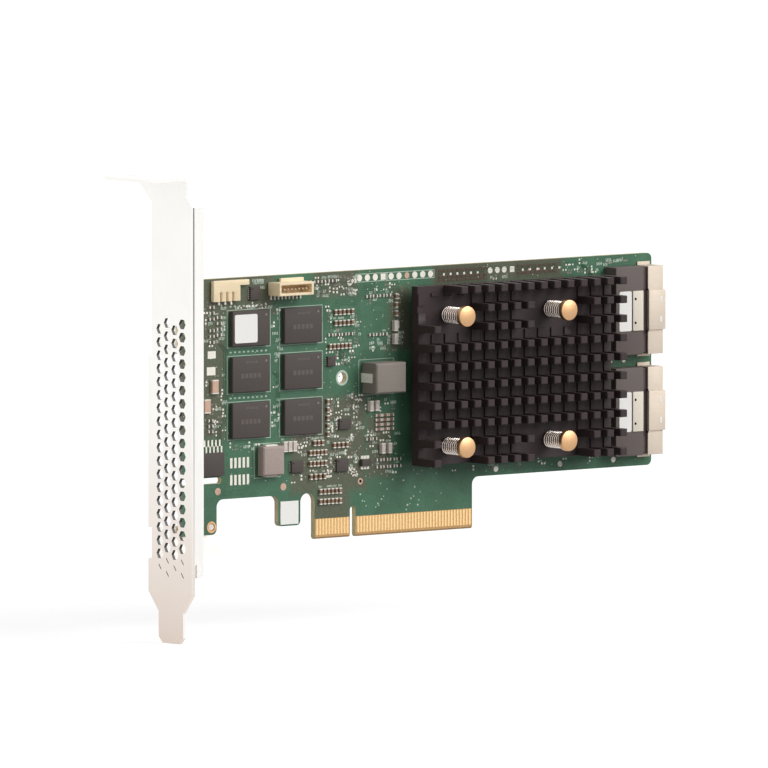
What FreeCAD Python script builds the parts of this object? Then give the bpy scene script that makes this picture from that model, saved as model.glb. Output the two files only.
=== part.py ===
"""Parametric model of a SAS controller card, in millimetres.

X runs along the card, away from the bracket. Y runs from the component side to the back. Z runs up.
The origin is the middle of the key notch, at the contact edge, on the component face of the board.
"""
import FreeCAD
import Part
import os
import Sketcher

SIZES = {
    # Circuit board
    "board_left_reach": 56.2,
    "board_right_reach": 99.7,
    "board_height": 68.9,
    "board_thickness": 1.57,
    "board_corner_radius": 1.5,
    "key_width": 1.9,
    "key_depth": 7.9,
    "key_radius": 0.9,
    "short_blade": 11.65,
    "long_blade": 38.65,
    "blade_bevel": 0.45,
    "hook_slot_width": 4.7,
    "hook_slot_top": 12.0,
    "hook_slot_radius": 2.2,
    "label_tab_width": 7.3,
    "label_tab_bottom": 3.9,
    "label_tab_radius": 1.2,
    "leg_width": 11.4,
    "leg_bottom": 2.9,
    "left_edge_up": 11.9,
    "right_edge_up": 13.4,
    "inner_corner_radius": 2.0,
    "side_slot_length": 13.0,
    "side_slot_width": 1.6,
    "side_slot_up": 16.85,
    "side_slot_radius": 0.7,
    "guide_hole": 2.9,
    "guide_hole_across": -3.6,
    "guide_hole_up": 41.3,
    # Edge contacts
    "contact_pitch": 1.0,
    "contact_width": 0.7,
    "contact_bottom": 1.0,
    "contact_top": 5.1,
    "contact_thickness": 0.05,
    # Mounting bracket
    "bracket_setback": 7.94,
    "bracket_thickness": 0.86,
    "bracket_width": 18.42,
    "bracket_front_reach": 14.6,
    "bracket_height": 120.02,
    "bracket_top": 96.3,
    "ear_depth": 11.43,
    "ear_front_inset": 2.8,
    "ear_back_overhang": 3.7,
    "ear_flare_height": 4.5,
    "ear_flare_top": 2.2,
    "ear_chamfer_height": 3.1,
    "ear_chamfer_top": 4.4,
    "ear_slot_width": 4.42,
    "ear_slot_depth": 5.2,
    "ear_slot_across": 5.9,
    "ear_slot_radius": 2.15,
    "bend_radius": 0.8,
    "tab_height": 8.0,
    "tab_lower_up": -2.3,
    "tab_upper_up": 50.0,
    "tab_end_margin": 4.0,
    "tab_end_rise": 3.2,
    "tongue_width": 10.19,
    "tongue_front_inset": 4.0,
    "tongue_shoulder": -10.7,
    "tongue_taper": 4.9,
    "tongue_tip_chamfer": 1.6,
    "flange_width": 3.6,
    "flange_bottom": -6.4,
    "flange_radius": 1.2,
    "relief_width": 1.3,
    "relief_height": 3.4,
    "vent_across_flats": 2.45,
    "vent_pitch": 3.4,
    "vent_column_pitch": 3.1,
    "vent_first_column": 13.6,
    "vent_lowest": -0.8,
    "slit_width": 1.0,
    "slit_height": 1.7,
    # Bracket screws and inserts
    "insert_lower_across": 17.6,
    "insert_lower_up": 4.9,
    "insert_upper_across": 11.5,
    "insert_outer": 3.0,
    "insert_rim": 0.1,
    "bracket_screw_shank": 2.0,
    "bracket_screw_head": 4.0,
    "bracket_screw_head_height": 1.2,
    "tab_hole": 2.4,
    # Controller chip and heat sink
    "chip_across": 43.9,
    "chip_up": 39.55,
    "chip_base_side": 29.0,
    "chip_base_height": 1.2,
    "chip_lid_side": 23.0,
    "chip_lid_height": 1.4,
    "thermal_pad_side": 22.0,
    "thermal_pad_thickness": 0.3,
    "sink_left": 17.2,
    "sink_port_gap": 2.4,
    "sink_bottom": 17.7,
    "sink_top_gap": 4.7,
    "sink_base_thickness": 2.4,
    "pin_height": 7.2,
    "pin_rib": 0.4,
    "pin_width": 2.3,
    "pin_tallness": 1.9,
    "left_clearing": 6.5,
    "right_clearing": 9.6,
    "clearing_reach": 7.6,
    "clearing_rise": 4.95,
    # Retention screws and springs
    "retention_spacing": 34.0,
    "retention_shank": 2.2,
    "retention_hole": 2.6,
    "retention_head": 5.4,
    "retention_head_height": 1.6,
    "retention_proud": 1.5,
    "spring_outer": 4.5,
    "spring_wire": 0.6,
    "spring_pitch": 2.5,
    "spring_seat": 0.01,
    "nut_outer": 5.0,
    "nut_height": 2.0,
    # Cable sockets
    "port_overhang": 0.0,
    "port_depth": 15.8,
    "port_width": 23.0,
    "port_height": 4.8,
    "port_lower_up": 28.05,
    "port_upper_up": 54.4,
    "shell_length": 5.0,
    "shell_wall": 0.35,
    "shell_raise": 0.45,
    "shell_lip": 0.5,
    "shell_foot_length": 4.2,
    "shell_foot_reach": 0.9,
    "port_middle_width": 10.4,
    "port_fit": 0.05,
    "port_groove": 1.6,
    "port_groove_depth": 0.8,
    "socket_width": 20.6,
    "socket_height": 2.9,
    "socket_depth": 4.6,
    "socket_setback": 0.3,
    "blade_width": 19.2,
    "blade_thickness": 0.8,
    "blade_setback": 1.0,
    "port_contact_pitch": 1.6,
    "port_contact_width": 0.6,
    "port_contact_length": 3.0,
    "port_contact_thickness": 0.1,
    "latch_plate_length": 3.5,
    "latch_plate_thickness": 0.3,
    "latch_plate_setback": 0.2,
    "strip_length": 4.1,
    "strip_gap": 0.3,
    "sticker_thickness": 0.1,
    # Memory chips and stickers
    "memory_width": 12.2,
    "memory_tallness": 9.1,
    "memory_height": 1.3,
    "memory_left": -34.75,
    "memory_column_pitch": 17.3,
    "memory_top": 55.7,
    "memory_row_pitch": 11.85,
    "chip_sticker_width": 7.4,
    "chip_sticker_tallness": 7.35,
    "chip_sticker_shift": 1.75,
    "tab_sticker_width": 5.9,
    "tab_sticker_tallness": 6.0,
    "tab_sticker_up": 4.3,
    # Headers
    "power_header_left": -47.1,
    "power_header_width": 8.7,
    "power_header_rim_width": 11.6,
    "power_header_rim": 1.4,
    "power_header_bottom": 63.0,
    "power_header_tallness": 5.4,
    "power_header_height": 1.3,
    "power_header_slot": 0.7,
    "power_header_slot_depth": 2.4,
    "power_header_pitch": 2.0,
    "power_pin_width": 0.5,
    "power_pin_reach": 0.9,
    "signal_header_left": -28.2,
    "signal_header_width": 11.2,
    "signal_header_bottom": 63.8,
    "signal_header_tallness": 3.4,
    "signal_header_height": 4.9,
    "signal_header_wall": 0.6,
    "signal_header_floor": 1.2,
    "signal_header_key_left": 3.5,
    "signal_header_key_width": 7.5,
    "signal_header_key_height": 1.0,
    "signal_header_key_rise": 0.9,
    "signal_pin_pitch": 1.2,
    "signal_pin_width": 0.4,
    "signal_pin_reach": 1.2,
    "signal_pin_length": 3.2,
    # Inductors
    "small_inductor_left": -31.7,
    "small_inductor_bottom": 17.4,
    "small_inductor_width": 7.0,
    "small_inductor_tallness": 7.6,
    "small_inductor_height": 2.6,
    "large_inductor_left": 3.1,
    "large_inductor_bottom": 37.1,
    "large_inductor_width": 10.0,
    "large_inductor_tallness": 7.9,
    "large_inductor_height": 6.0,
    "inductor_edge": 0.4,
    "terminal_thickness": 0.3,
    "small_terminal_width": 3.7,
    "small_terminal_rise": 1.6,
    "large_terminal_width": 2.4,
    "large_terminal_rise": 4.4,
    # Edge switch chip and small chips
    "switch_left": -52.5,
    "switch_width": 8.6,
    "switch_bottom": 18.1,
    "switch_tallness": 6.1,
    "switch_height": 1.5,
    "switch_lead_pitch": 1.24,
    "switch_lead_width": 0.5,
    "switch_lead_reach": 3.2,
    "switch_lead_thickness": 0.25,
    "small_chip_height": 0.8,
    "transistor_width": 3.0,
    "transistor_tallness": 1.9,
    "transistor_height": 1.0,
    "transistor_across": 3.9,
    "transistor_up": 19.0,
    "transistor_lead_pitch": 0.95,
    "transistor_lead_width": 0.8,
    "transistor_lead_reach": 0.8,
    "transistor_lead_thickness": 0.2,
    # Small passive parts
    "large_capacitor_width": 1.3,
    "large_capacitor_tallness": 2.7,
    "large_capacitor_height": 1.2,
    "capacitor_width": 0.8,
    "capacitor_tallness": 1.5,
    "capacitor_height": 0.7,
    "resistor_width": 1.5,
    "resistor_tallness": 0.8,
    "resistor_height": 0.45,
    "tantalum_width": 2.1,
    "tantalum_tallness": 3.6,
    "tantalum_height": 0.9,
    "array_width": 1.75,
    "array_tallness": 0.75,
    "array_height": 0.6,
    "rear_capacitor_width": 1.0,
    "rear_capacitor_tallness": 0.5,
    "rear_capacitor_height": 0.5,
}

# Rows of small parts: first place across and up, step across and up, and how many.
LARGE_CAPACITOR_ROWS = {
    "beside_small_inductor": (-23.2, 24.5, 1.6, 0.0, 3),
    "under_large_inductor": (5.5, 33.6, 1.9, 0.0, 2),
    "beside_heat_sink": (13.6, 50.6, 0.0, 3.4, 2),
    "lower_field": (9.4, 22.4, 2.2, 0.0, 2),
}
CAPACITOR_ROWS = {
    "under_right_memory": (-13.0, 24.9, 1.3, 0.0, 3),
    "right_of_memory": (-8.6, 27.0, 0.0, 2.1, 5),
    "middle_upper_row": (-14.4, 22.4, 1.25, 0.0, 5),
    "middle_lower_row": (-14.4, 19.6, 1.25, 0.0, 5),
    "bottom_row": (-14.2, 16.2, 1.5, 0.0, 4),
    "coupling_row_high": (-11.0, 12.2, 1.3, 0.0, 6),
    "coupling_row_low": (-11.0, 9.6, 1.3, 0.0, 6),
    "upper_field_row": (-6.0, 58.4, 1.4, 0.0, 5),
    "upper_field_low_row": (-6.0, 55.6, 1.4, 0.0, 5),
    "centre_row": (-7.8, 49.6, 1.3, 0.0, 6),
    "sink_column": (14.2, 57.2, 0.0, 2.2, 3),
    "lower_centre_row": (-6.4, 24.0, 1.4, 0.0, 4),
}
RESISTOR_ROWS = {
    "left_edge_column": (-47.0, 58.6, 0.0, 1.5, 3),
    "left_inner_column": (-44.6, 54.4, 0.0, 1.5, 4),
    "left_low_column": (-47.0, 52.6, 0.0, 1.5, 3),
    "header_row": (-13.6, 66.6, 2.4, 0.0, 4),
    "upper_right_row": (5.0, 62.0, 2.2, 0.0, 4),
    "above_inductor_row": (6.0, 52.0, 2.2, 0.0, 3),
    "centre_high_row": (-7.6, 52.6, 2.2, 0.0, 4),
    "lower_left_column": (-47.4, 29.6, 0.0, 1.4, 3),
    "low_field_row": (8.4, 19.4, 2.2, 0.0, 4),
    "low_field_second_row": (8.4, 17.6, 2.2, 0.0, 4),
    "bottom_field_row": (5.0, 25.0, 2.0, 0.0, 2),
}
ARRAY_ROWS = {
    "array_first": (8.2, 27.4, 2.07, 0.0, 3),
    "array_second": (8.2, 28.6, 2.07, 0.0, 3),
    "array_third": (8.2, 29.8, 2.07, 0.0, 3),
    "array_fourth": (8.2, 31.0, 2.07, 0.0, 3),
}
TANTALUM_ROWS = {
    "left_tantalum": (-48.8, 36.2, 2.6, 4.9, 2),
}
REAR_CAPACITOR_ROWS = {
    "rear_low": (38.3, 34.0, 5.6, 0.0, 3),
    "rear_middle": (38.3, 39.6, 5.6, 0.0, 3),
    "rear_high": (38.3, 45.2, 5.6, 0.0, 3),
}

# Small square chips: lowest corner across and up, width and tallness.
REGULATOR_CHIPS = {
    "regulator_left": (-20.9, 17.6, 3.9, 3.0),
    "regulator_middle": (-5.9, 17.1, 3.9, 3.2),
    "regulator_upper": (-5.0, 28.0, 3.9, 2.6),
}
LOGIC_CHIPS = {
    "logic_header": (-34.6, 62.9, 3.2, 3.4),
    "logic_centre": (-8.9, 44.6, 2.6, 2.5),
}

# The reaches and height that the layout of the parts was drawn on. It spreads with the board's own.
DRAWN_LEFT_REACH = 56.75
DRAWN_RIGHT_REACH = 99.7
DRAWN_HEIGHT = 68.9

PIN_COLUMNS = 15
PIN_ROWS = 10
# Pins left out at the upper left corner: first and last column of a row, counted from the lower left.
CORNER_CLEARINGS = ((0, 0, 8), (0, 1, 9))
MEMORY_ROWS = 3
MEMORY_COLUMNS = 2
SHORT_CONTACTS = 11
LONG_CONTACTS = 38
VENT_COLUMNS = 4
VENT_ROWS = 18
# Distance from a hexagon's middle to its corner, for a width of one across its flats.
HEXAGON_CORNER = 1 / 3 ** 0.5
PORT_CONTACTS = 11
POWER_PINS = 3
SIGNAL_PINS = 9
SWITCH_LEADS = 7
TRANSISTOR_LEADS = 3
# Slits under the vent field: column and step below the field's lowest hole, in half pitches.
SLITS = ((0, 2), (1, 1), (1, 3), (2, 2), (3, 1), (3, 3))

ROW_TABLES = (
    LARGE_CAPACITOR_ROWS, CAPACITOR_ROWS, RESISTOR_ROWS, ARRAY_ROWS, TANTALUM_ROWS, REAR_CAPACITOR_ROWS,
)


class Term:
    """A number together with the sheet expression that gives it."""

    def __init__(self, value, text):
        self.value = value
        self.text = text

    def joined(self, sign, other, value):
        return Term(value, f"({self.text} {sign} {as_term(other).text})")

    def __add__(self, other):
        return self.joined("+", other, self.value + as_term(other).value)

    def __sub__(self, other):
        return self.joined("-", other, self.value - as_term(other).value)

    def __rsub__(self, other):
        return as_term(other) - self

    def __mul__(self, other):
        return self.joined("*", other, self.value * as_term(other).value)

    def __truediv__(self, other):
        return self.joined("/", other, self.value / as_term(other).value)

    def __neg__(self):
        return Term(-self.value, f"(0 - {self.text})")

    __radd__ = __add__
    __rmul__ = __mul__


def as_term(number):
    return number if isinstance(number, Term) else Term(number, f"({number})")


class Sheet:
    """The spreadsheet's cells, read as terms by alias."""

    def __init__(self, document):
        self.cells = document.addObject("Spreadsheet::Sheet", "dim")
        self.count = 0
        self.values = {}

    def put(self, alias, value):
        self.count += 1
        self.cells.set(f"A{self.count}", alias)
        self.cells.set(f"B{self.count}", str(value))
        self.cells.setAlias(f"B{self.count}", alias)
        self.values[alias] = value

    def __getattr__(self, alias):
        return Term(self.values[alias], f"dim.{alias}")


doc = FreeCAD.newDocument("sas_controller_card")
dim = Sheet(doc)
nodes = []


def fill_sheet():
    for alias, value in SIZES.items():
        dim.put(alias, value)
    for table in ROW_TABLES:
        for name, (across, up, step_across, step_up, _) in table.items():
            dim.put(f"{name}_across", across)
            dim.put(f"{name}_up", up)
            dim.put(f"{name}_step_across", step_across)
            dim.put(f"{name}_step_up", step_up)
    for table in (REGULATOR_CHIPS, LOGIC_CHIPS):
        for name, (across, up, width, tallness) in table.items():
            dim.put(f"{name}_across", across)
            dim.put(f"{name}_up", up)
            dim.put(f"{name}_width", width)
            dim.put(f"{name}_tallness", tallness)
    doc.recompute()


def bind(thing, terms):
    for name, term in terms.items():
        thing.setExpression(name, as_term(term).text)


def node(label, thing):
    """Register a finished piece under its own name."""
    thing.Label = label
    nodes.append(thing)
    return thing


def block(name, low, sides):
    """A box from its lowest corner and its three sides."""
    box = doc.addObject("Part::Box", name)
    bind(box, {
        "Placement.Base.x": low[0],
        "Placement.Base.y": low[1],
        "Placement.Base.z": low[2],
        "Length": sides[0],
        "Width": sides[1],
        "Height": sides[2],
    })
    return box


# Turn a part's own Z to -Y, or to X with its own X to Y.
TOWARDS_VIEWER = FreeCAD.Rotation(FreeCAD.Vector(1, 0, 0), 90)
ALONG_CARD = FreeCAD.Rotation(FreeCAD.Vector(1, 1, 1), 120)


def rod(name, across, back, up, length, diameter):
    """A round bar along Y that starts at back and runs towards the component side."""
    bar = doc.addObject("Part::Cylinder", name)
    bar.Placement = FreeCAD.Placement(FreeCAD.Vector(), TOWARDS_VIEWER)
    bind(bar, {
        "Placement.Base.x": across,
        "Placement.Base.y": back,
        "Placement.Base.z": up,
        "Height": length,
        "Radius": as_term(diameter) / 2,
    })
    return bar


def prism(name, direction, across_flats, length, start):
    """A six-sided bar from its start along a direction."""
    bar = doc.addObject("Part::Prism", name)
    bar.Placement = FreeCAD.Placement(FreeCAD.Vector(), direction)
    bar.Polygon = 6
    bind(bar, {
        "Placement.Base.x": start[0],
        "Placement.Base.y": start[1],
        "Placement.Base.z": start[2],
        "Circumradius": across_flats * HEXAGON_CORNER,
        "Height": length,
    })
    return bar


def fuse(name, members):
    whole = doc.addObject("Part::MultiFuse", name)
    whole.Shapes = members
    return whole


def cut(name, base, tool):
    result = doc.addObject("Part::Cut", name)
    result.Base = base
    result.Tool = tool
    return result


def group(name, members):
    together = doc.addObject("Part::Compound", name)
    together.Links = members
    return together


def new_body(name):
    return doc.addObject("PartDesign::Body", name)


def origin_plane(body, role):
    return next(item for item in body.Origin.OriginFeatures if item.Role == role)


def new_sketch(body, name, plane, offset):
    sketch = body.newObject("Sketcher::SketchObject", name)
    sketch.AttachmentSupport = [(origin_plane(body, plane), "")]
    sketch.MapMode = "FlatFace"
    if offset is not None:
        bind(sketch, {"AttachmentOffset.Base.z": offset})
    return sketch


def pin_point(sketch, geometry, point, across, up):
    """Hold one point of a sketch at two expressions, measured from the origin."""
    for kind, term in (("DistanceX", across), ("DistanceY", up)):
        term = as_term(term)
        index = sketch.addConstraint(Sketcher.Constraint(kind, -1, 1, geometry, point, term.value))
        sketch.setExpression(f"Constraints[{index}]", term.text)


def outline(body, name, plane, *loops, offset=None):
    """A sketch of closed loops, each of straight lines through its corners."""
    sketch = new_sketch(body, name, plane, offset)
    for corners in loops:
        first = sketch.GeometryCount
        places = [FreeCAD.Vector(as_term(across).value, as_term(up).value, 0) for across, up in corners]
        followers = places[1:] + places[:1]
        for place, follower in zip(places, followers):
            sketch.addGeometry(Part.LineSegment(place, follower), False)
        for index, (across, up) in enumerate(corners):
            follower = first + (index + 1) % len(corners)
            sketch.addConstraint(Sketcher.Constraint("Coincident", first + index, 2, follower, 1))
            pin_point(sketch, first + index, 1, across, up)
    return sketch


def circles(body, name, plane, places, offset=None):
    """A sketch of round holes, each with its place and diameter."""
    sketch = new_sketch(body, name, plane, offset)
    normal = FreeCAD.Vector(0, 0, 1)
    for index, (across, up, diameter) in enumerate(places):
        across, up, diameter = as_term(across), as_term(up), as_term(diameter)
        centre = FreeCAD.Vector(across.value, up.value, 0)
        sketch.addGeometry(Part.Circle(centre, normal, diameter.value / 2), False)
        number = sketch.addConstraint(Sketcher.Constraint("Diameter", index, diameter.value))
        sketch.setExpression(f"Constraints[{number}]", diameter.text)
        pin_point(sketch, index, 3, across, up)
    return sketch


def pad(body, name, sketch, length, backwards=False):
    feature = body.newObject("PartDesign::Pad", name)
    feature.Profile = sketch
    feature.Reversed = backwards
    bind(feature, {"Length": length})
    return feature


def pocket(body, name, sketch, depth, backwards=False):
    feature = body.newObject("PartDesign::Pocket", name)
    feature.Profile = sketch
    feature.Reversed = backwards
    bind(feature, {"Length": depth})
    return feature


def edges_along(shape, axis, places):
    """Names of the straight edges along one axis that pass through the places in the other two."""
    found = []
    others = [index for index in range(3) if index != axis]
    for number, edge in enumerate(shape.Edges, 1):
        if len(edge.Vertexes) != 2:
            continue
        ends = [vertex.Point for vertex in edge.Vertexes]
        if any(abs(ends[0][index] - ends[1][index]) > 1e-6 for index in others):
            continue
        for place in places:
            if all(abs(ends[0][index] - as_term(term).value) < 1e-4 for index, term in zip(others, place)):
                found.append(f"Edge{number}")
    return found


def dress(body, kind, name, axis, places, size):
    """A Fillet or Chamfer on the edges that run along an axis through the places."""
    doc.recompute()
    base = body.Tip
    edges = edges_along(base.Shape, axis, places)
    if len(edges) < len(places):
        raise ValueError(f"{name}: {len(edges)} edges found for {len(places)} places")
    feature = body.newObject(f"PartDesign::{kind}", name)
    feature.Base = (base, edges)
    bind(feature, {"Radius" if kind == "Fillet" else "Size": size})
    return feature


def spread_across(place):
    """A drawn place across, moved with the board's reach on its own side of the notch."""
    if place.value < 0:
        return place * (dim.board_left_reach / DRAWN_LEFT_REACH)
    return place * (dim.board_right_reach / DRAWN_RIGHT_REACH)


def spread_up(place):
    """A drawn place up, moved with the board's height."""
    return place * (dim.board_height / DRAWN_HEIGHT)


# Places that several pieces share
fill_sheet()
BOARD_LEFT = -dim.board_left_reach
LEG_RIGHT = BOARD_LEFT + dim.leg_width
BLADE_LEFT = -(dim.key_width / 2 + dim.short_blade)
BLADE_RIGHT = dim.key_width / 2 + dim.long_blade
TAB_RIGHT = BLADE_LEFT - dim.hook_slot_width
TAB_LEFT = TAB_RIGHT - dim.label_tab_width
BRACKET_FACE = BOARD_LEFT - dim.bracket_setback
BRACKET_FRONT = -dim.bracket_front_reach
BRACKET_BACK = BRACKET_FRONT + dim.bracket_width
TAB_BACK = dim.board_thickness + dim.bracket_thickness
CHIP_TOP = -(dim.chip_base_height + dim.chip_lid_height)
SINK_BACK = CHIP_TOP - dim.thermal_pad_thickness
SINK_FRONT = SINK_BACK - dim.sink_base_thickness
PIN_TIPS = SINK_FRONT - dim.pin_height
HEAD_FACE = PIN_TIPS - dim.retention_proud
HEAD_BACK = HEAD_FACE + dim.retention_head_height
PORT_RIGHT = dim.board_right_reach + dim.port_overhang
PORT_LEFT = PORT_RIGHT - dim.port_depth
SHELL_LEFT = PORT_RIGHT - dim.shell_length
CHIP_ACROSS = spread_across(dim.chip_across)
CHIP_UP = spread_up(dim.chip_up)
HALF_RETENTION = dim.retention_spacing / 2
SCREW_PLACES = tuple(
    (CHIP_ACROSS + HALF_RETENTION * side, CHIP_UP + HALF_RETENTION * level)
    for level in (-1, 1) for side in (-1, 1)
)
INSERT_PLACES = (
    (BRACKET_FACE + dim.insert_lower_across, dim.insert_lower_up),
    (BRACKET_FACE + dim.insert_upper_across, dim.tab_upper_up + dim.tab_height / 2),
)


def build_board():
    body = new_body("circuit_board_body")
    slot_top = dim.side_slot_up + dim.side_slot_width / 2
    slot_bottom = dim.side_slot_up - dim.side_slot_width / 2
    slot_end = BOARD_LEFT + dim.side_slot_length
    key_left = -(dim.key_width / 2)
    key_right = dim.key_width / 2
    leg_corner = (LEG_RIGHT, dim.leg_bottom)
    leg_root = (LEG_RIGHT, dim.left_edge_up)
    tab_root = (TAB_LEFT, dim.left_edge_up)
    tab_corners = [(TAB_LEFT, dim.label_tab_bottom), (TAB_RIGHT, dim.label_tab_bottom)]
    hook_corners = [(TAB_RIGHT, dim.hook_slot_top), (BLADE_LEFT, dim.hook_slot_top)]
    key_corners = [(key_left, dim.key_depth), (key_right, dim.key_depth)]
    blade_root = (BLADE_RIGHT, dim.right_edge_up)
    right_corners = [(dim.board_right_reach, dim.right_edge_up), (dim.board_right_reach, dim.board_height)]
    top_left = (BOARD_LEFT, dim.board_height)
    slot_corners = [(slot_end, slot_top), (slot_end, slot_bottom)]
    corners = [(BOARD_LEFT, dim.leg_bottom), leg_corner, leg_root, tab_root, *tab_corners, *hook_corners]
    corners += [(BLADE_LEFT, 0), (key_left, 0), *key_corners, (key_right, 0), (BLADE_RIGHT, 0), blade_root]
    corners += [*right_corners, top_left, (BOARD_LEFT, slot_top), *slot_corners, (BOARD_LEFT, slot_bottom)]
    sketch = outline(body, "board_outline", "XZ_Plane", corners)
    pad(body, "board_plate", sketch, dim.board_thickness, backwards=True)
    bevels = [(0, 0), (dim.board_thickness, 0)]
    dress(body, "Chamfer", "board_bevel", 0, bevels, dim.blade_bevel)
    dress(body, "Fillet", "board_corners", 1, [*right_corners, top_left, leg_corner], dim.board_corner_radius)
    dress(body, "Fillet", "board_roots", 1, [leg_root, tab_root, blade_root], dim.inner_corner_radius)
    dress(body, "Fillet", "board_tab_corners", 1, tab_corners, dim.label_tab_radius)
    dress(body, "Fillet", "board_hook_corners", 1, hook_corners, dim.hook_slot_radius)
    dress(body, "Fillet", "board_key_corners", 1, key_corners, dim.key_radius)
    dress(body, "Fillet", "board_slot_corners", 1, slot_corners, dim.side_slot_radius)
    holes = [(across, up, dim.retention_hole) for across, up in SCREW_PLACES]
    holes += [(across, up, dim.insert_outer) for across, up in INSERT_PLACES]
    holes += [(spread_across(dim.guide_hole_across), spread_up(dim.guide_hole_up), dim.guide_hole)]
    sketch = circles(body, "board_hole_places", "XZ_Plane", holes)
    pocket(body, "board_holes", sketch, dim.board_thickness)
    node("circuit_board", body)


def build_edge_contacts():
    tallness = dim.contact_top - dim.contact_bottom
    sides = (dim.contact_width, dim.contact_thickness, tallness)
    short_start = BLADE_LEFT + (dim.short_blade - dim.contact_pitch * (SHORT_CONTACTS - 1)) / 2
    long_start = dim.key_width / 2 + (dim.long_blade - dim.contact_pitch * (LONG_CONTACTS - 1)) / 2
    middles = [short_start + dim.contact_pitch * index for index in range(SHORT_CONTACTS)]
    middles += [long_start + dim.contact_pitch * index for index in range(LONG_CONTACTS)]
    for face, depth in (("front", -dim.contact_thickness), ("back", dim.board_thickness)):
        pads = []
        for index, middle in enumerate(middles):
            low = (middle - dim.contact_width / 2, depth, dim.contact_bottom)
            pads.append(block(f"contact_{face}_{index}", low, sides))
        node(f"edge_contacts_{face}", group(f"contacts_{face}", pads))


def build_bracket():
    body = new_body("mounting_bracket_body")
    tip = dim.bracket_top - dim.bracket_height
    ear_front = BRACKET_FRONT + dim.ear_front_inset
    ear_back = BRACKET_BACK + dim.ear_back_overhang
    flare_top = dim.bracket_top - dim.ear_flare_top
    chamfer_top = dim.bracket_top - dim.ear_chamfer_top
    flange_top = chamfer_top - dim.ear_chamfer_height
    tongue_front = BRACKET_FRONT + dim.tongue_front_inset
    tongue_back = tongue_front + dim.tongue_width
    tongue_top = dim.tongue_shoulder - dim.tongue_taper
    tip_up = tip + dim.tongue_tip_chamfer
    notch_top = dim.tab_lower_up + dim.tab_height
    blade = [
        (BRACKET_FRONT, dim.tongue_shoulder),
        (BRACKET_FRONT, flange_top),
        (ear_front, chamfer_top),
        (ear_front, dim.bracket_top),
        (ear_back, dim.bracket_top),
        (ear_back, flare_top),
        (TAB_BACK, flare_top - dim.ear_flare_height),
        (TAB_BACK, dim.tab_upper_up),
        (BRACKET_BACK, dim.tab_upper_up),
        (BRACKET_BACK, notch_top),
        (TAB_BACK, notch_top),
        (TAB_BACK, dim.tab_lower_up),
        (BRACKET_BACK, dim.tab_lower_up),
        (BRACKET_BACK, dim.tongue_shoulder),
        (tongue_back, tongue_top),
        (tongue_back, tip_up),
        (tongue_back - dim.tongue_tip_chamfer, tip),
        (tongue_front + dim.tongue_tip_chamfer, tip),
        (tongue_front, tip_up),
        (tongue_front, tongue_top),
    ]
    sketch = outline(body, "blade_outline", "YZ_Plane", blade, offset=BRACKET_FACE)
    pad(body, "blade", sketch, dim.bracket_thickness)

    ear_end = BRACKET_FACE - dim.ear_depth
    slot_middle = BRACKET_FACE - dim.ear_slot_across
    slot_near = slot_middle + dim.ear_slot_width / 2
    slot_far = slot_middle - dim.ear_slot_width / 2
    slot_floor = ear_back - dim.ear_slot_depth
    ear = [
        (BRACKET_FACE + dim.bracket_thickness, ear_front),
        (BRACKET_FACE + dim.bracket_thickness, ear_back),
        (slot_near, ear_back),
        (slot_near, slot_floor),
        (slot_far, slot_floor),
        (slot_far, ear_back),
        (ear_end, ear_back),
        (ear_end, ear_front),
    ]
    sketch = outline(body, "ear_outline", "XY_Plane", ear, offset=dim.bracket_top)
    pad(body, "ear", sketch, dim.bracket_thickness, backwards=True)

    flange_end = BRACKET_FACE + dim.flange_width
    relief_end = BRACKET_FACE + dim.relief_width
    relief_top = dim.flange_bottom + dim.relief_height
    flange = [
        (BRACKET_FACE, relief_top),
        (relief_end, relief_top),
        (relief_end, dim.flange_bottom),
        (flange_end, dim.flange_bottom),
        (flange_end, flange_top),
        (BRACKET_FACE, flange_top),
    ]
    sketch = outline(body, "flange_outline", "XZ_Plane", flange, offset=dim.bracket_front_reach)
    pad(body, "flange", sketch, dim.bracket_thickness, backwards=True)

    tabs = (("lower", dim.tab_lower_up), ("upper", dim.tab_upper_up))
    for (name, bottom), (across, up) in zip(tabs, INSERT_PLACES):
        tab_end = across + dim.tab_end_margin
        tab_step = across - dim.tab_end_margin
        tab = [
            (BRACKET_FACE, bottom),
            (tab_end, bottom),
            (tab_end, up + dim.tab_end_rise),
            (tab_step, up + dim.tab_end_rise),
            (tab_step, bottom + dim.tab_height),
            (BRACKET_FACE, bottom + dim.tab_height),
        ]
        sketch = outline(body, f"{name}_tab_outline", "XZ_Plane", tab, offset=-TAB_BACK)
        pad(body, f"{name}_tab", sketch, dim.bracket_thickness)
    holes = [(across, up, dim.tab_hole) for across, up in INSERT_PLACES]
    sketch = circles(body, "tab_hole_places", "XZ_Plane", holes, -dim.board_thickness)
    pocket(body, "tab_holes", sketch, dim.bracket_thickness)

    blade_inside = BRACKET_FACE + dim.bracket_thickness
    dress(body, "Fillet", "ear_bend", 1, [(blade_inside, dim.bracket_top)], dim.bend_radius)
    dress(body, "Fillet", "flange_bend", 2, [(BRACKET_FACE, BRACKET_FRONT)], dim.bend_radius)
    slot_corners = [(slot_near, slot_floor), (slot_far, slot_floor)]
    dress(body, "Fillet", "ear_slot_end", 2, slot_corners, dim.ear_slot_radius)
    dress(body, "Fillet", "flange_corner", 1, [(flange_end, dim.flange_bottom)], dim.flange_radius)
    cut_slits(body)
    node("mounting_bracket", cut("vented_bracket", body, vents()))


def vent_column(column):
    """Middle of one column of vents, counted from the card's side."""
    return BRACKET_FRONT + dim.vent_first_column - dim.vent_column_pitch * column


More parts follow.
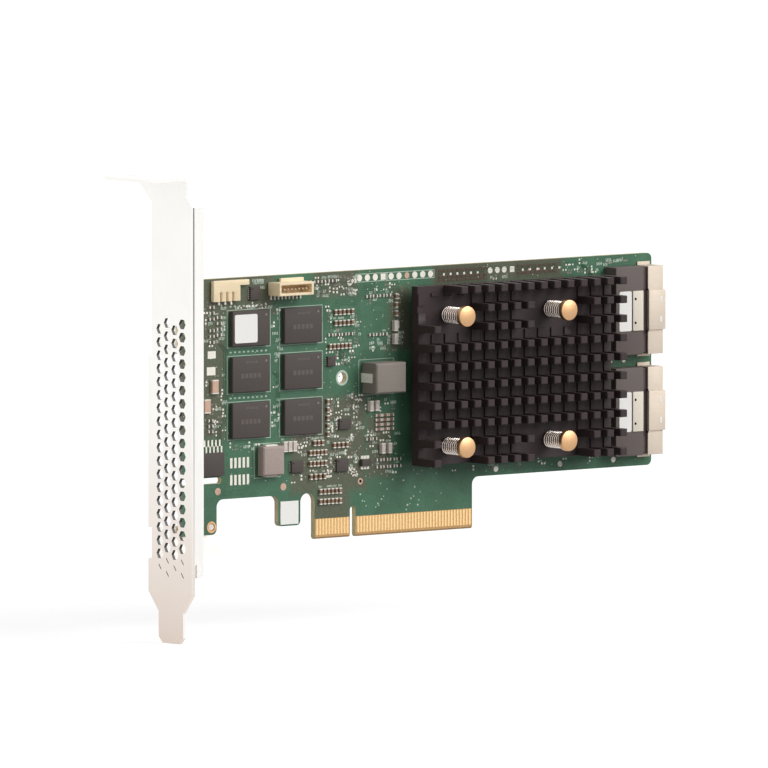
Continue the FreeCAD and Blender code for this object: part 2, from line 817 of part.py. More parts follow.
def cut_slits(body):
    """Slanted slits under the vents."""
    loops = []
    for column, step in SLITS:
        right = vent_column(column) + dim.slit_width / 2
        left = right - dim.slit_width
        level = dim.vent_lowest - dim.vent_pitch / 2 * step
        loops.append([
            (right, level + dim.slit_height / 2),
            (left, level - dim.slit_height / 4),
            (left, level - dim.slit_height / 2),
            (right, level + dim.slit_height / 4),
        ])
    sketch = outline(body, "slit_outlines", "YZ_Plane", *loops, offset=BRACKET_FACE)
    pocket(body, "slits", sketch, dim.bracket_thickness, backwards=True)


def vents():
    """Staggered columns of six-sided holes, as one tool."""
    prisms = []
    for column in range(VENT_COLUMNS):
        lowest = dim.vent_lowest + dim.vent_pitch / 2 * (column % 2)
        for row in range(VENT_ROWS):
            place = (BRACKET_FACE, vent_column(column), lowest + dim.vent_pitch * row)
            prisms.append(prism(f"vent_{column}_{row}", ALONG_CARD, dim.vent_across_flats,
                                dim.bracket_thickness, place))
    return group("vents", prisms)


def build_bracket_fasteners():
    screws = []
    inserts = []
    for name, (across, up) in zip(("lower", "upper"), INSERT_PLACES):
        head = rod(f"{name}_head", across, TAB_BACK + dim.bracket_screw_head_height, up,
                   dim.bracket_screw_head_height, dim.bracket_screw_head)
        shank = rod(f"{name}_shank", across, TAB_BACK, up, TAB_BACK, dim.bracket_screw_shank)
        screws.append(fuse(f"{name}_bracket_screw", [head, shank]))
        length = dim.board_thickness + dim.insert_rim
        ring = rod(f"{name}_ring", across, dim.board_thickness, up, length, dim.insert_outer)
        bore = rod(f"{name}_bore", across, dim.board_thickness, up, length, dim.bracket_screw_shank)
        inserts.append(cut(f"{name}_insert", ring, bore))
    node("bracket_screws", group("bracket_screw_pair", screws))
    node("board_inserts", group("board_insert_pair", inserts))


def centred_block(name, across, up, width, tallness, back, height):
    """A box centred on a place on the board, from its back towards the component side."""
    low = (across - width / 2, back - height, up - tallness / 2)
    return block(name, low, (width, height, tallness))


def build_controller():
    base = centred_block("chip_base", CHIP_ACROSS, CHIP_UP, dim.chip_base_side, dim.chip_base_side,
                         as_term(0), dim.chip_base_height)
    lid = centred_block("chip_lid", CHIP_ACROSS, CHIP_UP, dim.chip_lid_side, dim.chip_lid_side,
                        -dim.chip_base_height, dim.chip_lid_height)
    node("controller_chip", fuse("controller_package", [base, lid]))
    side = dim.thermal_pad_side
    sheet = centred_block("pad_sheet", CHIP_ACROSS, CHIP_UP, side, side, CHIP_TOP, dim.thermal_pad_thickness)
    node("thermal_pad", sheet)


def build_heat_sink():
    """An extruded block of upright fins, cross-cut into pins on low ribs and cleared round the screws."""
    left = spread_across(dim.sink_left)
    bottom = spread_up(dim.sink_bottom)
    width = PORT_LEFT - dim.sink_port_gap - left
    tallness = dim.board_height - dim.sink_top_gap - bottom
    pitch_across = (width - dim.pin_width) / (PIN_COLUMNS - 1)
    pitch_up = (tallness - dim.pin_tallness) / (PIN_ROWS - 1)
    blank = block("sink_blank", (left, PIN_TIPS, bottom), (width, SINK_BACK - PIN_TIPS, tallness))
    slots = []
    for column in range(PIN_COLUMNS - 1):
        start = left + dim.pin_width + pitch_across * column
        slots.append(block(f"sink_slot_{column}", (start, PIN_TIPS, bottom),
                           (pitch_across - dim.pin_width, dim.pin_height, tallness)))
    cross_slots = []
    for row in range(PIN_ROWS - 1):
        start = bottom + dim.pin_tallness + pitch_up * row
        cross_slots.append(block(f"sink_cross_slot_{row}", (left, PIN_TIPS, start),
                                 (width, dim.pin_height - dim.pin_rib, pitch_up - dim.pin_tallness)))
    openings = []
    for number, (first, last, row) in enumerate(CORNER_CLEARINGS):
        low = (left + pitch_across * first, PIN_TIPS, bottom + pitch_up * row)
        sides = (pitch_across * (last - first) + dim.pin_width, dim.pin_height, dim.pin_tallness)
        openings.append(block(f"corner_clearing_{number}", low, sides))
    margins = (dim.left_clearing, dim.right_clearing) * 2
    for number, ((across, up), margin) in enumerate(zip(SCREW_PLACES, margins)):
        low = (across - margin, PIN_TIPS, up - dim.clearing_rise)
        sides = (margin + dim.clearing_reach, dim.pin_height, dim.clearing_rise * 2)
        openings.append(block(f"sink_clearing_{number}", low, sides))
        openings.append(rod(f"sink_hole_{number}", across, SINK_BACK, up,
                            dim.sink_base_thickness, dim.retention_hole))
    finned = cut("sink_finned", blank, group("sink_slots", slots))
    crossed = cut("sink_crossed", finned, group("sink_cross_slots", cross_slots))
    node("heat_sink", cut("sink_cleared", crossed, group("sink_openings", openings)))


def build_retention():
    screws = []
    springs = []
    nuts = []
    nut_back = dim.board_thickness + dim.nut_height
    for number, (across, up) in enumerate(SCREW_PLACES):
        shank = rod(f"retention_shank_{number}", across, nut_back, up,
                    nut_back - HEAD_BACK, dim.retention_shank)
        head = rod(f"retention_head_{number}", across, HEAD_BACK, up,
                   dim.retention_head_height, dim.retention_head)
        screws.append(fuse(f"retention_screw_{number}", [shank, head]))
        springs.append(coil(f"retention_spring_{number}", across, up))
        ring = prism(f"nut_ring_{number}", TOWARDS_VIEWER, dim.nut_outer, dim.nut_height,
                     (across, nut_back, up))
        bore = rod(f"nut_bore_{number}", across, nut_back, up, dim.nut_height, dim.retention_shank)
        nuts.append(cut(f"retention_nut_{number}", ring, bore))
    node("retention_screws", group("retention_screw_set", screws))
    node("retention_springs", group("retention_spring_set", springs))
    node("retention_nuts", group("retention_nut_set", nuts))


def coil(name, across, up):
    """A coil spring between the heat sink's base and a screw head."""
    middle_radius = (dim.spring_outer - dim.spring_wire) / 2
    start = SINK_FRONT - dim.spring_wire / 2 - dim.spring_seat
    length = SINK_FRONT - HEAD_BACK - dim.spring_wire - dim.spring_seat * 2
    path = doc.addObject("Part::Helix", f"{name}_path")
    path.Placement = FreeCAD.Placement(FreeCAD.Vector(), TOWARDS_VIEWER)
    path.SegmentLength = 1
    bind(path, {
        "Placement.Base.x": across,
        "Placement.Base.y": start,
        "Placement.Base.z": up,
        "Pitch": dim.spring_pitch,
        "Height": length,
        "Radius": middle_radius,
    })
    section = doc.addObject("Part::RegularPolygon", f"{name}_section")
    section.Polygon = 3
    bind(section, {
        "Placement.Base.x": across + middle_radius,
        "Placement.Base.y": start,
        "Placement.Base.z": up,
        "Circumradius": dim.spring_wire / 2,
    })
    spring = doc.addObject("Part::Sweep", name)
    spring.Sections = [section]
    spring.Spine = (path, [])
    spring.Solid = True
    spring.Frenet = True
    return spring


def build_ports():
    strips = []
    for name, up in (("lower", dim.port_lower_up), ("upper", dim.port_upper_up)):
        build_port(name, up)
        strips.append(build_port_strip(name, up))
    node("port_strips", group("port_strip_pair", strips))


def build_port(name, up):
    inner_width = dim.port_width - (dim.shell_wall + dim.port_fit) * 2
    inner_height = dim.port_height - (dim.shell_wall + dim.port_fit) * 2
    inner_back = -(dim.shell_wall + dim.port_fit)
    body_right = SHELL_LEFT - dim.port_groove
    bottom = up - dim.port_width / 2
    inner_bottom = up - inner_width / 2
    front = PORT_RIGHT - dim.socket_setback
    middle = -(dim.port_height / 2)

    rear = block(f"{name}_port_rear", (PORT_LEFT, -dim.port_height, bottom),
                 (body_right - PORT_LEFT, dim.port_height, dim.port_width))
    nose = block(f"{name}_port_nose", (PORT_LEFT, inner_back - inner_height, inner_bottom),
                 (front - PORT_LEFT, inner_height, inner_width))
    socket = block(f"{name}_port_socket",
                   (front - dim.socket_depth, middle - dim.socket_height / 2, up - dim.socket_width / 2),
                   (dim.socket_depth, dim.socket_height, dim.socket_width))
    groove = block(f"{name}_port_groove", (body_right, -dim.port_height, inner_bottom),
                   (dim.port_groove, dim.port_groove_depth, inner_width))
    tongue_length = dim.socket_depth - dim.blade_setback
    tongue = block(f"{name}_port_tongue",
                   (front - dim.socket_depth, middle - dim.blade_thickness / 2, up - dim.blade_width / 2),
                   (tongue_length, dim.blade_thickness, dim.blade_width))
    gaps = group(f"{name}_port_gaps", [socket, groove])
    hollow = cut(f"{name}_port_hollow", fuse(f"{name}_port_solid", [rear, nose]), gaps)
    node(f"{name}_port_housing", fuse(f"{name}_port_body", [hollow, tongue]))

    build_port_shell(name, up, inner_width, inner_height)
    build_port_contacts(name, up, front - dim.socket_depth, middle)
    plate_left = body_right - dim.latch_plate_setback - dim.latch_plate_length
    plate_front = -(dim.port_height + dim.latch_plate_thickness)
    plate = block(f"{name}_latch_sheet", (plate_left, plate_front, up - dim.port_middle_width / 2),
                  (dim.latch_plate_length, dim.latch_plate_thickness, dim.port_middle_width))
    node(f"{name}_latch_plate", plate)


def build_port_shell(name, up, inner_width, inner_height):
    """A sheet sleeve with a raised middle and a solder foot at each side."""
    fit = dim.port_fit
    sleeve = block(f"{name}_shell_sleeve", (SHELL_LEFT, -dim.port_height, up - dim.port_width / 2),
                   (dim.shell_length, dim.port_height, dim.port_width))
    raised_sides = (dim.shell_length + dim.shell_lip, dim.shell_raise + dim.shell_wall, dim.port_middle_width)
    raised = block(f"{name}_shell_raised",
                   (SHELL_LEFT, -(dim.port_height + dim.shell_raise), up - dim.port_middle_width / 2),
                   raised_sides)
    feet_width = dim.port_width + dim.shell_foot_reach * 2
    feet = block(f"{name}_shell_feet", (SHELL_LEFT, -dim.shell_wall, up - feet_width / 2),
                 (dim.shell_foot_length, dim.shell_wall, feet_width))
    opening = block(f"{name}_shell_opening",
                    (SHELL_LEFT, -(dim.shell_wall + fit + inner_height + fit), up - inner_width / 2 - fit),
                    (dim.shell_length, inner_height + fit * 2, inner_width + fit * 2))
    outside = fuse(f"{name}_shell_outside", [sleeve, raised, feet])
    node(f"{name}_port_shell", cut(f"{name}_shell", outside, opening))


def build_port_contacts(name, up, left, middle):
    """Two rows of spring contacts on the tongue inside the socket."""
    half = dim.blade_thickness / 2
    rows = (("near", middle - half - dim.port_contact_thickness), ("far", middle + half))
    start = up - dim.port_contact_pitch * ((PORT_CONTACTS - 1) / 2) - dim.port_contact_width / 2
    sides = (dim.port_contact_length, dim.port_contact_thickness, dim.port_contact_width)
    contacts = []
    for row, depth in rows:
        for index in range(PORT_CONTACTS):
            low = (left, depth, start + dim.port_contact_pitch * index)
            contacts.append(block(f"{name}_{row}_contact_{index}", low, sides))
    node(f"{name}_port_contacts", group(f"{name}_contact_rows", contacts))


def build_port_strip(name, up):
    plate_left = SHELL_LEFT - dim.port_groove - dim.latch_plate_setback - dim.latch_plate_length
    return block(f"{name}_port_strip",
                 (plate_left - dim.strip_gap - dim.strip_length, -(dim.port_height + dim.sticker_thickness),
                  up - dim.port_middle_width / 2),
                 (dim.strip_length, dim.sticker_thickness, dim.port_middle_width))


def build_memory():
    number = 0
    for row in range(MEMORY_ROWS):
        for column in range(MEMORY_COLUMNS):
            number += 1
            across = spread_across(dim.memory_left + dim.memory_column_pitch * column)
            up = spread_up(dim.memory_top - dim.memory_row_pitch * row)
            chip = centred_block(f"memory_block_{number}", across, up, dim.memory_width, dim.memory_tallness,
                                 as_term(0), dim.memory_height)
            node(f"memory_chip_{number}", chip)
    across = spread_across(dim.memory_left) - dim.chip_sticker_shift
    sticker = centred_block("memory_sticker_sheet", across, spread_up(dim.memory_top), dim.chip_sticker_width,
                            dim.chip_sticker_tallness, -dim.memory_height, dim.sticker_thickness)
    node("memory_sticker", sticker)
    left = TAB_LEFT + (dim.label_tab_width - dim.tab_sticker_width) / 2
    sticker = block("tab_sticker_sheet", (left, -dim.sticker_thickness, dim.tab_sticker_up),
                    (dim.tab_sticker_width, dim.sticker_thickness, dim.tab_sticker_tallness))
    node("tab_sticker", sticker)


def build_power_header():
    left = spread_across(dim.power_header_left)
    bottom = spread_up(dim.power_header_bottom)
    height = dim.power_header_height
    body = block("power_body", (left, -height, bottom),
                 (dim.power_header_width, height, dim.power_header_tallness))
    rim = block("power_rim", (left, -height, bottom + dim.power_header_tallness - dim.power_header_rim),
                (dim.power_header_rim_width, height, dim.power_header_rim))
    slots = []
    pins = []
    middle = left + dim.power_header_width / 2
    start = middle - dim.power_header_pitch * ((POWER_PINS - 1) / 2)
    for index in range(POWER_PINS):
        across = start + dim.power_header_pitch * index
        slots.append(block(f"power_slot_{index}", (across - dim.power_header_slot / 2, -height, bottom),
                           (dim.power_header_slot, height / 2, dim.power_header_slot_depth)))
        width = dim.power_pin_width
        low = (across - width / 2, -width, bottom - dim.power_pin_reach)
        pins.append(block(f"power_pin_{index}", low, (width, width, dim.power_pin_reach)))
    node("power_header", cut("power_housing", fuse("power_solid", [body, rim]), group("power_slots", slots)))
    node("power_header_pins", group("power_pins", pins))


def build_signal_header():
    left = spread_across(dim.signal_header_left)
    bottom = spread_up(dim.signal_header_bottom)
    height = dim.signal_header_height
    wall = dim.signal_header_wall
    tallness = dim.signal_header_tallness
    body = block("signal_body", (left, -height, bottom), (dim.signal_header_width, height, tallness))
    key = block("signal_key",
                (left + dim.signal_header_key_left, -dim.signal_header_key_height, bottom + tallness),
                (dim.signal_header_key_width, dim.signal_header_key_height, dim.signal_header_key_rise))
    well = block("signal_well", (left + wall, -height, bottom + wall),
                 (dim.signal_header_width - wall * 2, height - dim.signal_header_floor, tallness - wall * 2))
    node("signal_header", cut("signal_housing", fuse("signal_solid", [body, key]), well))
    pins = []
    middle = left + dim.signal_header_width / 2
    start = middle - dim.signal_pin_pitch * ((SIGNAL_PINS - 1) / 2) - dim.signal_pin_width / 2
    width = dim.signal_pin_width
    floor = -dim.signal_header_floor
    for index in range(SIGNAL_PINS):
        across = start + dim.signal_pin_pitch * index
        low = (across, floor - dim.signal_pin_length, bottom + tallness / 2 - width / 2)
        pins.append(block(f"signal_post_{index}", low, (width, dim.signal_pin_length, width)))
        low = (across, -width, bottom - dim.signal_pin_reach)
        pins.append(block(f"signal_tail_{index}", low, (width, width, dim.signal_pin_reach)))
    node("signal_header_pins", group("signal_pins", pins))


def soft_block(name, left, bottom, width, tallness, height):
    """A block on the board whose outer face has bevelled edges."""
    right = left + width
    top = bottom + tallness
    body = new_body(f"{name}_body")
    corners = [(left, bottom), (right, bottom), (right, top), (left, top)]
    pad(body, f"{name}_core", outline(body, f"{name}_outline", "XZ_Plane", corners), height)
    dress(body, "Chamfer", f"{name}_level_edges", 0, [(-height, bottom), (-height, top)], dim.inductor_edge)
    dress(body, "Chamfer", f"{name}_upright_edges", 2, [(left, -height), (right, -height)], dim.inductor_edge)
    return body


def build_inductors():
    left = spread_across(dim.small_inductor_left)
    bottom = spread_up(dim.small_inductor_bottom)
    node("small_inductor", soft_block("small_inductor", left, bottom, dim.small_inductor_width,
                                      dim.small_inductor_tallness, dim.small_inductor_height))
    across = left + (dim.small_inductor_width - dim.small_terminal_width) / 2
    sides = (dim.small_terminal_width, dim.small_terminal_rise, dim.terminal_thickness)
    levels = (bottom - dim.terminal_thickness, bottom + dim.small_inductor_tallness)
    clips = [block(f"small_clip_{index}", (across, -dim.small_terminal_rise, level), sides)
             for index, level in enumerate(levels)]
    node("small_inductor_terminals", group("small_clips", clips))

    left = spread_across(dim.large_inductor_left)
    bottom = spread_up(dim.large_inductor_bottom)
    node("large_inductor", soft_block("large_inductor", left, bottom, dim.large_inductor_width,
                                      dim.large_inductor_tallness, dim.large_inductor_height))
    up = bottom + (dim.large_inductor_tallness - dim.large_terminal_width) / 2
    sides = (dim.terminal_thickness, dim.large_terminal_rise, dim.large_terminal_width)
    places = (left - dim.terminal_thickness, left + dim.large_inductor_width)
    clips = [block(f"large_clip_{index}", (across, -dim.large_terminal_rise, up), sides)
             for index, across in enumerate(places)]
    node("large_inductor_terminals", group("large_clips", clips))


def build_switch_chip():
    left = spread_across(dim.switch_left)
    bottom = spread_up(dim.switch_bottom)
    body = block("switch_body", (left, -dim.switch_height, bottom),
                 (dim.switch_width, dim.switch_height, dim.switch_tallness))
    node("switch_chip", body)
    top = bottom + dim.switch_tallness
    thickness = dim.switch_lead_thickness
    lead_span = dim.switch_lead_pitch * (SWITCH_LEADS - 1) + dim.switch_lead_width
    start = left + (dim.switch_width - lead_span) / 2
    half_reach = dim.switch_lead_reach / 2
    shoulder = dim.switch_height / 2
    leads = []
    for index in range(SWITCH_LEADS):
        across = start + dim.switch_lead_pitch * index
        arm = block(f"switch_arm_{index}", (across, -(shoulder + thickness), top),
                    (dim.switch_lead_width, thickness, half_reach))
        drop = block(f"switch_drop_{index}", (across, -(shoulder + thickness), top + half_reach - thickness),
                     (dim.switch_lead_width, shoulder + thickness, thickness))
        foot = block(f"switch_foot_{index}", (across, -thickness, top + half_reach - thickness),
                     (dim.switch_lead_width, thickness, half_reach + thickness))
        leads.append(fuse(f"switch_lead_{index}", [arm, drop, foot]))
    node("switch_chip_leads", group("switch_leads", leads))


def build_small_chips():
    for label, table in (("regulator_chips", REGULATOR_CHIPS), ("logic_chips", LOGIC_CHIPS)):
        chips = []
        for name in table:
            across = spread_across(getattr(dim, f"{name}_across"))
            low = (across, -dim.small_chip_height, spread_up(getattr(dim, f"{name}_up")))
            sides = (getattr(dim, f"{name}_width"), dim.small_chip_height, getattr(dim, f"{name}_tallness"))
            chips.append(block(name, low, sides))
        node(label, group(f"{label}_set", chips))


def build_transistor():
    across = spread_across(dim.transistor_across)
    up = spread_up(dim.transistor_up)
    thickness = dim.transistor_lead_thickness
    body = centred_block("transistor_body", across, up, dim.transistor_width, dim.transistor_tallness,
                         as_term(0), dim.transistor_height)
    node("transistor", body)
    leads = []
    start = across - dim.transistor_lead_pitch * ((TRANSISTOR_LEADS - 1) / 2) - dim.transistor_lead_width / 2
    levels = (up + dim.transistor_tallness / 2, up - dim.transistor_tallness / 2 - dim.transistor_lead_reach)
    for side, level in enumerate(levels):
        for index in range(TRANSISTOR_LEADS):
            low = (start + dim.transistor_lead_pitch * index, -thickness, level)
            leads.append(block(f"transistor_lead_{side}_{index}", low,
                               (dim.transistor_lead_width, thickness, dim.transistor_lead_reach)))
    node("transistor_leads", group("transistor_lead_set", leads))


def build_rows(label, table, width, tallness, height, back):
    """A group of like blocks laid out in rows on the board."""
    parts = []
    for name, (_, _, _, _, count) in table.items():
        first_across = getattr(dim, f"{name}_across")
        first_up = getattr(dim, f"{name}_up")
        for index in range(count):
            across = spread_across(first_across + getattr(dim, f"{name}_step_across") * index)
            up = spread_up(first_up + getattr(dim, f"{name}_step_up") * index)
            parts.append(centred_block(f"{name}_{index}", across, up, width, tallness, back, height))
    node(label, group(f"{label}_set", parts))


def build_passives():
    face = as_term(0)
    rear = dim.board_thickness + dim.rear_capacitor_height
    build_rows("large_capacitors", LARGE_CAPACITOR_ROWS, dim.large_capacitor_width,
               dim.large_capacitor_tallness, dim.large_capacitor_height, face)
    build_rows("ceramic_capacitors", CAPACITOR_ROWS, dim.capacitor_width, dim.capacitor_tallness,
               dim.capacitor_height, face)
    build_rows("chip_resistors", RESISTOR_ROWS, dim.resistor_width, dim.resistor_tallness,
               dim.resistor_height, face)
    build_rows("array_capacitors", ARRAY_ROWS, dim.array_width, dim.array_tallness, dim.array_height, face)
    build_rows("tantalum_capacitors", TANTALUM_ROWS, dim.tantalum_width, dim.tantalum_tallness,
               dim.tantalum_height, face)
    build_rows("rear_capacitors", REAR_CAPACITOR_ROWS, dim.rear_capacitor_width, dim.rear_capacitor_tallness,
               dim.rear_capacitor_height, rear)


def check_document():
    """Stop on any object that did not build."""
    for thing in doc.Objects:
        if "Invalid" in thing.State or "Error" in thing.State:
            raise RuntimeError(f"{thing.Name} did not build: {thing.State}")
    for piece in nodes:
        if not piece.Shape.isValid() or not piece.Shape.Solids:
            raise RuntimeError(f"{piece.Label} is not a valid solid")


def export_nodes():
    os.makedirs("parts", exist_ok=True)
    for piece in nodes:
        piece.Shape.exportStep(f"parts/{piece.Label}.step")


build_board()
build_edge_contacts()
build_bracket()
build_bracket_fasteners()
build_controller()
build_heat_sink()
build_retention()
build_ports()
build_memory()
build_power_header()
build_signal_header()
build_inductors()
build_switch_chip()
build_small_chips()
build_transistor()
build_passives()
doc.recompute()
check_document()
export_nodes()
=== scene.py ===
"""Looks of the SAS controller card, laid out as an add-on and run as a script. Sizes are in metres."""
import bmesh
import bpy
import math
import random
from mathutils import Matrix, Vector


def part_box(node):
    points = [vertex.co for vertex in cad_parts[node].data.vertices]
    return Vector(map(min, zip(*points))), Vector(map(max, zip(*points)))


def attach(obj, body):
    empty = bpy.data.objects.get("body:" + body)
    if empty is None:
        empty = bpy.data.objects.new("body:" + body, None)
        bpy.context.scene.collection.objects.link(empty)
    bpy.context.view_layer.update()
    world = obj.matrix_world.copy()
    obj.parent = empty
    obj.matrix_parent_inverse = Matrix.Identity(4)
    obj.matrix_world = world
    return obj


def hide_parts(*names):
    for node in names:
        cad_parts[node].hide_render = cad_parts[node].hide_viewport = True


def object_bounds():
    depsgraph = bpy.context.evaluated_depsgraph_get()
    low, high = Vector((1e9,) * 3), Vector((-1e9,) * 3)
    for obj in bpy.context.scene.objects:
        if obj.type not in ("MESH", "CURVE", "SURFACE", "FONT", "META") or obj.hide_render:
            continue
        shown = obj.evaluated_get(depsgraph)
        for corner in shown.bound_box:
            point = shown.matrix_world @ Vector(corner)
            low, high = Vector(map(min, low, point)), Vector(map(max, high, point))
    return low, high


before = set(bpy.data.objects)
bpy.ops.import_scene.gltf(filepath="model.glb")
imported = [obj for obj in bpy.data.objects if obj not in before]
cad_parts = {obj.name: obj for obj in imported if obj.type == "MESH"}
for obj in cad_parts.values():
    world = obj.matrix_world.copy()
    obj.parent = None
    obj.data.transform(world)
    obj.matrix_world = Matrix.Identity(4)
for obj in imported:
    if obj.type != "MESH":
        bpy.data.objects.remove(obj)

bl_info = {
    "name": "SAS controller card",
    "version": (1, 0, 0),
    "blender": (4, 5, 0),
    "location": "3D View > Sidebar > Card",
    "description": "Finishes, fine parts and stage of a controller card",
    "category": "Object",
}

MM = 0.001
# Corners nearer to each other than this are one corner.
MERGE = 0.001 * MM
CAD_BOX = [list(corner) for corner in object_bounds()]
BOARD_LOW, BOARD_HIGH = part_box("circuit_board")
MEMORY_CHIPS = [f"memory_chip_{number}" for number in range(1, 7)]
PORTS = ("lower", "upper")

# Lines of traces in millimetres: corners of the first line, step to the next line, and how many.
TRACE_BUNDLES = (
    (((-10.2, 56.4), (-7.4, 56.4), (-3.6, 60.2), (1.2, 60.2), (3.4, 62.4), (15.8, 62.4)), (0.0, 0.62), 6),
    (((-10.2, 47.6), (-5.4, 47.6), (-2.2, 44.4), (1.4, 44.4), (2.6, 45.6), (16.0, 45.6)), (0.0, 0.6), 5),
    (((-10.2, 33.8), (-6.6, 33.8), (-3.4, 37.0), (2.2, 37.0)), (0.0, 0.6), 4),
    (((-27.6, 61.4), (-12.4, 61.4), (-9.4, 64.4), (1.0, 64.4)), (0.0, 0.55), 4),
    (((82.2, 60.6), (76.0, 66.8), (40.0, 66.8)), (0.0, 0.5), 3),
    (((82.2, 16.4), (70.0, 16.4), (68.6, 15.0), (50.0, 15.0)), (0.0, -0.5), 2),
    (((-54.6, 66.2), (-54.6, 44.0), (-52.4, 41.8), (-52.4, 27.0)), (0.6, 0.0), 4),
    (((-43.0, 52.0), (-41.2, 50.2), (-41.2, 33.0), (-43.4, 30.8), (-43.4, 26.6)), (-0.6, 0.0), 3),
    (((-26.6, 44.0), (-25.2, 42.6), (-25.2, 33.0)), (0.55, 0.0), 3),
    (((-44.6, 12.9), (-36.0, 12.9), (-33.0, 15.9), (-32.2, 15.9)), (0.0, 0.55), 3),
)
# Round solder pads in millimetres: across, up and diameter. In the row along the top edge the fourth pad is
# square and the seventh is copper coloured, so these two stand in other tables.
ROUND_PADS = [(2.2 + 2.62 * index, 66.85, 1.75) for index in range(10) if index not in (3, 6)]
ROUND_PADS += [
    (45.6, 66.8, 1.6), (48.0, 66.8, 1.6), (50.3, 66.8, 1.6), (47.55, 15.0, 1.5), (69.0, 15.2, 1.5),
    (86.9, 15.4, 1.5), (-51.6, 63.6, 1.5), (-53.4, 30.6, 1.2), (90.4, 41.2, 1.2), (86.0, 41.2, 1.2),
]
# Copper coloured pads in millimetres: across, up and diameter. One of them has a hole.
HOLED_PAD = (2.5, 14.2, 1.7)
PAD_HOLE = 0.8
COPPER_PADS = (
    (-22.9, 14.1, 1.9), (-44.4, 14.0, 1.9), (17.92, 66.85, 1.6), (58.6, 66.5, 0.7), (61.9, 66.5, 0.7),
    HOLED_PAD,
)
# Small pale specks above the contacts in millimetres: across, up and diameter.
SPECKS = (
    (7.6, 7.2, 0.4), (8.3, 8.1, 0.5), (8.6, 7.6, 0.35), (9.5, 9.2, 0.5), (10.2, 9.9, 0.35),
    (11.3, 11.7, 0.4), (17.7, 6.0, 0.45), (18.1, 7.2, 0.55), (18.9, 7.5, 0.35), (19.3, 8.9, 0.5),
    (20.2, 9.4, 0.4), (20.5, 11.8, 0.5), (21.5, 7.1, 0.55), (21.9, 8.3, 0.4), (22.3, 10.4, 0.35),
    (29.3, 9.7, 0.35), (13.2, 14.1, 0.45), (27.6, 7.8, 0.3), (2.5, 10.8, 0.5), (3.2, 9.1, 0.45),
    (3.9, 8.9, 0.35), (4.4, 7.7, 0.4), (16.8, 13.7, 0.5), (9.2, 13.3, 0.4),
)
# The guide hole in millimetres, across and up, and the printed ring round it: its radii at the hole, at both
# sides of its flat top and at its rim, and the height of its inner lip.
GUIDE_HOLE = (-3.565, 41.3)
RING_RADII = (1.46, 1.5, 1.98, 2.0)
RING_LIP = 0.02
# Bare tinned pads in millimetres: lowest corner across and up, width and tallness.
BARE_PADS = [(-40.4 + 1.37 * column, up, 0.75, 2.65) for column in range(5) for up in (15.35, 19.75)]
BARE_PADS += [(-47.7, 48.4, 2.6, 1.9), (-48.0, 44.1, 2.8, 2.1), (9.26, 66.05, 1.6, 1.6)]
BARE_PADS += [(52.2, 66.05, 1.5, 1.5)]
BARE_PADS += [(29.9 + 2.25 * column, 66.2, 0.6, 0.6) for column in range(6)]
BARE_PADS += [(56.2 + 2.45 * column, 66.2, 0.6, 0.6) for column in range(6)]
# Flat brown parts along the top edge in millimetres: lowest corner across and up, width and tallness.
FLAT_PARTS = [(28.4 + 1.5 * column, up, 1.1, 0.62) for column in range(11) for up in (64.6, 65.5, 67.2)]
FLAT_PARTS += [(54.6 + 1.5 * column, up, 1.1, 0.62) for column in range(9) for up in (65.4, 67.2)]
# Crowded fields in millimetres: left, bottom, right, top, pairs of pads and groups of strokes tried there.
CROWDED_FIELDS = (
    (-49.0, 51.5, -42.0, 62.3, 20, 17),
    (-41.5, 60.7, -27.5, 61.6, 10, 4),
    (-34.0, 66.0, -27.0, 67.9, 4, 6),
    (-12.8, 62.8, 1.2, 68.0, 44, 20),
    (-26.9, 27.0, -24.2, 60.5, 8, 20),
    (-9.0, 44.8, 2.2, 60.0, 70, 22),
    (5.0, 60.2, 13.8, 65.0, 18, 10),
    (12.5, 48.5, 17.0, 63.4, 40, 10),
    (5.6, 47.6, 14.8, 51.4, 8, 13),
    (-49.0, 28.5, -42.2, 44.0, 36, 8),
    (-40.4, 24.3, -30.0, 25.6, 6, 2),
    (-20.4, 13.0, -7.5, 26.4, 100, 12),
    (-10.8, 6.6, -7.0, 13.0, 6, 12),
    (-9.2, 24.4, 2.2, 36.6, 72, 16),
    (-9.2, 15.8, 1.4, 23.8, 56, 16),
    (3.2, 31.4, 14.3, 35.2, 12, 6),
    (4.5, 14.6, 14.3, 27.0, 28, 8),
    (44.8, 63.2, 52.0, 65.2, 6, 9),
    (70.0, 63.0, 80.2, 67.6, 22, 5),
    (81.0, 65.0, 90.6, 68.0, 4, 12),
    (26.0, 15.0, 80.0, 16.6, 14, 5),
    (26.0, 62.6, 70.0, 63.6, 60, 5),
)
# Lowest place in millimetres for what is strewn over the board, and for what lies over its left leg.
LOWEST_PLACE = 14.2
LOWEST_OVER_LEG = 18.6
LEG_END = -43.0
# Seeds for the places of the vias, of what fills the crowded fields and of the printed ticks.
VIA_SEED = 7
FIELD_SEED = 23
TICK_SEED = 11
# Printed lines in millimetres: how far they lie outside a part on its left, bottom, right and top, and both
# outlines round the row of pads at the top edge.
CHIP_OUTLINE = (0.9, 0.45, 1.2, 0.35)
INDUCTOR_OUTLINE = (1.2, 0.7, 0.5, 0.7)
PAD_ROW_OUTLINES = ((1.0, 65.75, 11.3, 67.95), (11.3, 65.75, 27.0, 67.95))
# How far the bracket's front flange reaches across, in millimetres.
FLANGE_END = -58.0
# Where the bracket's vents lie in millimetres: axis, middle and half of the reach.
VENT_FIELD = (("X", -63.7, 0.6), ("Y", -5.6, 7.0), ("Z", 26.5, 34.0))
# Darker fields in millimetres under the flat parts at the top edge: left, bottom, right, top.
DARK_FIELDS = ((27.5, 64.4, 44.0, 68.0), (54.4, 64.9, 68.4, 68.0))
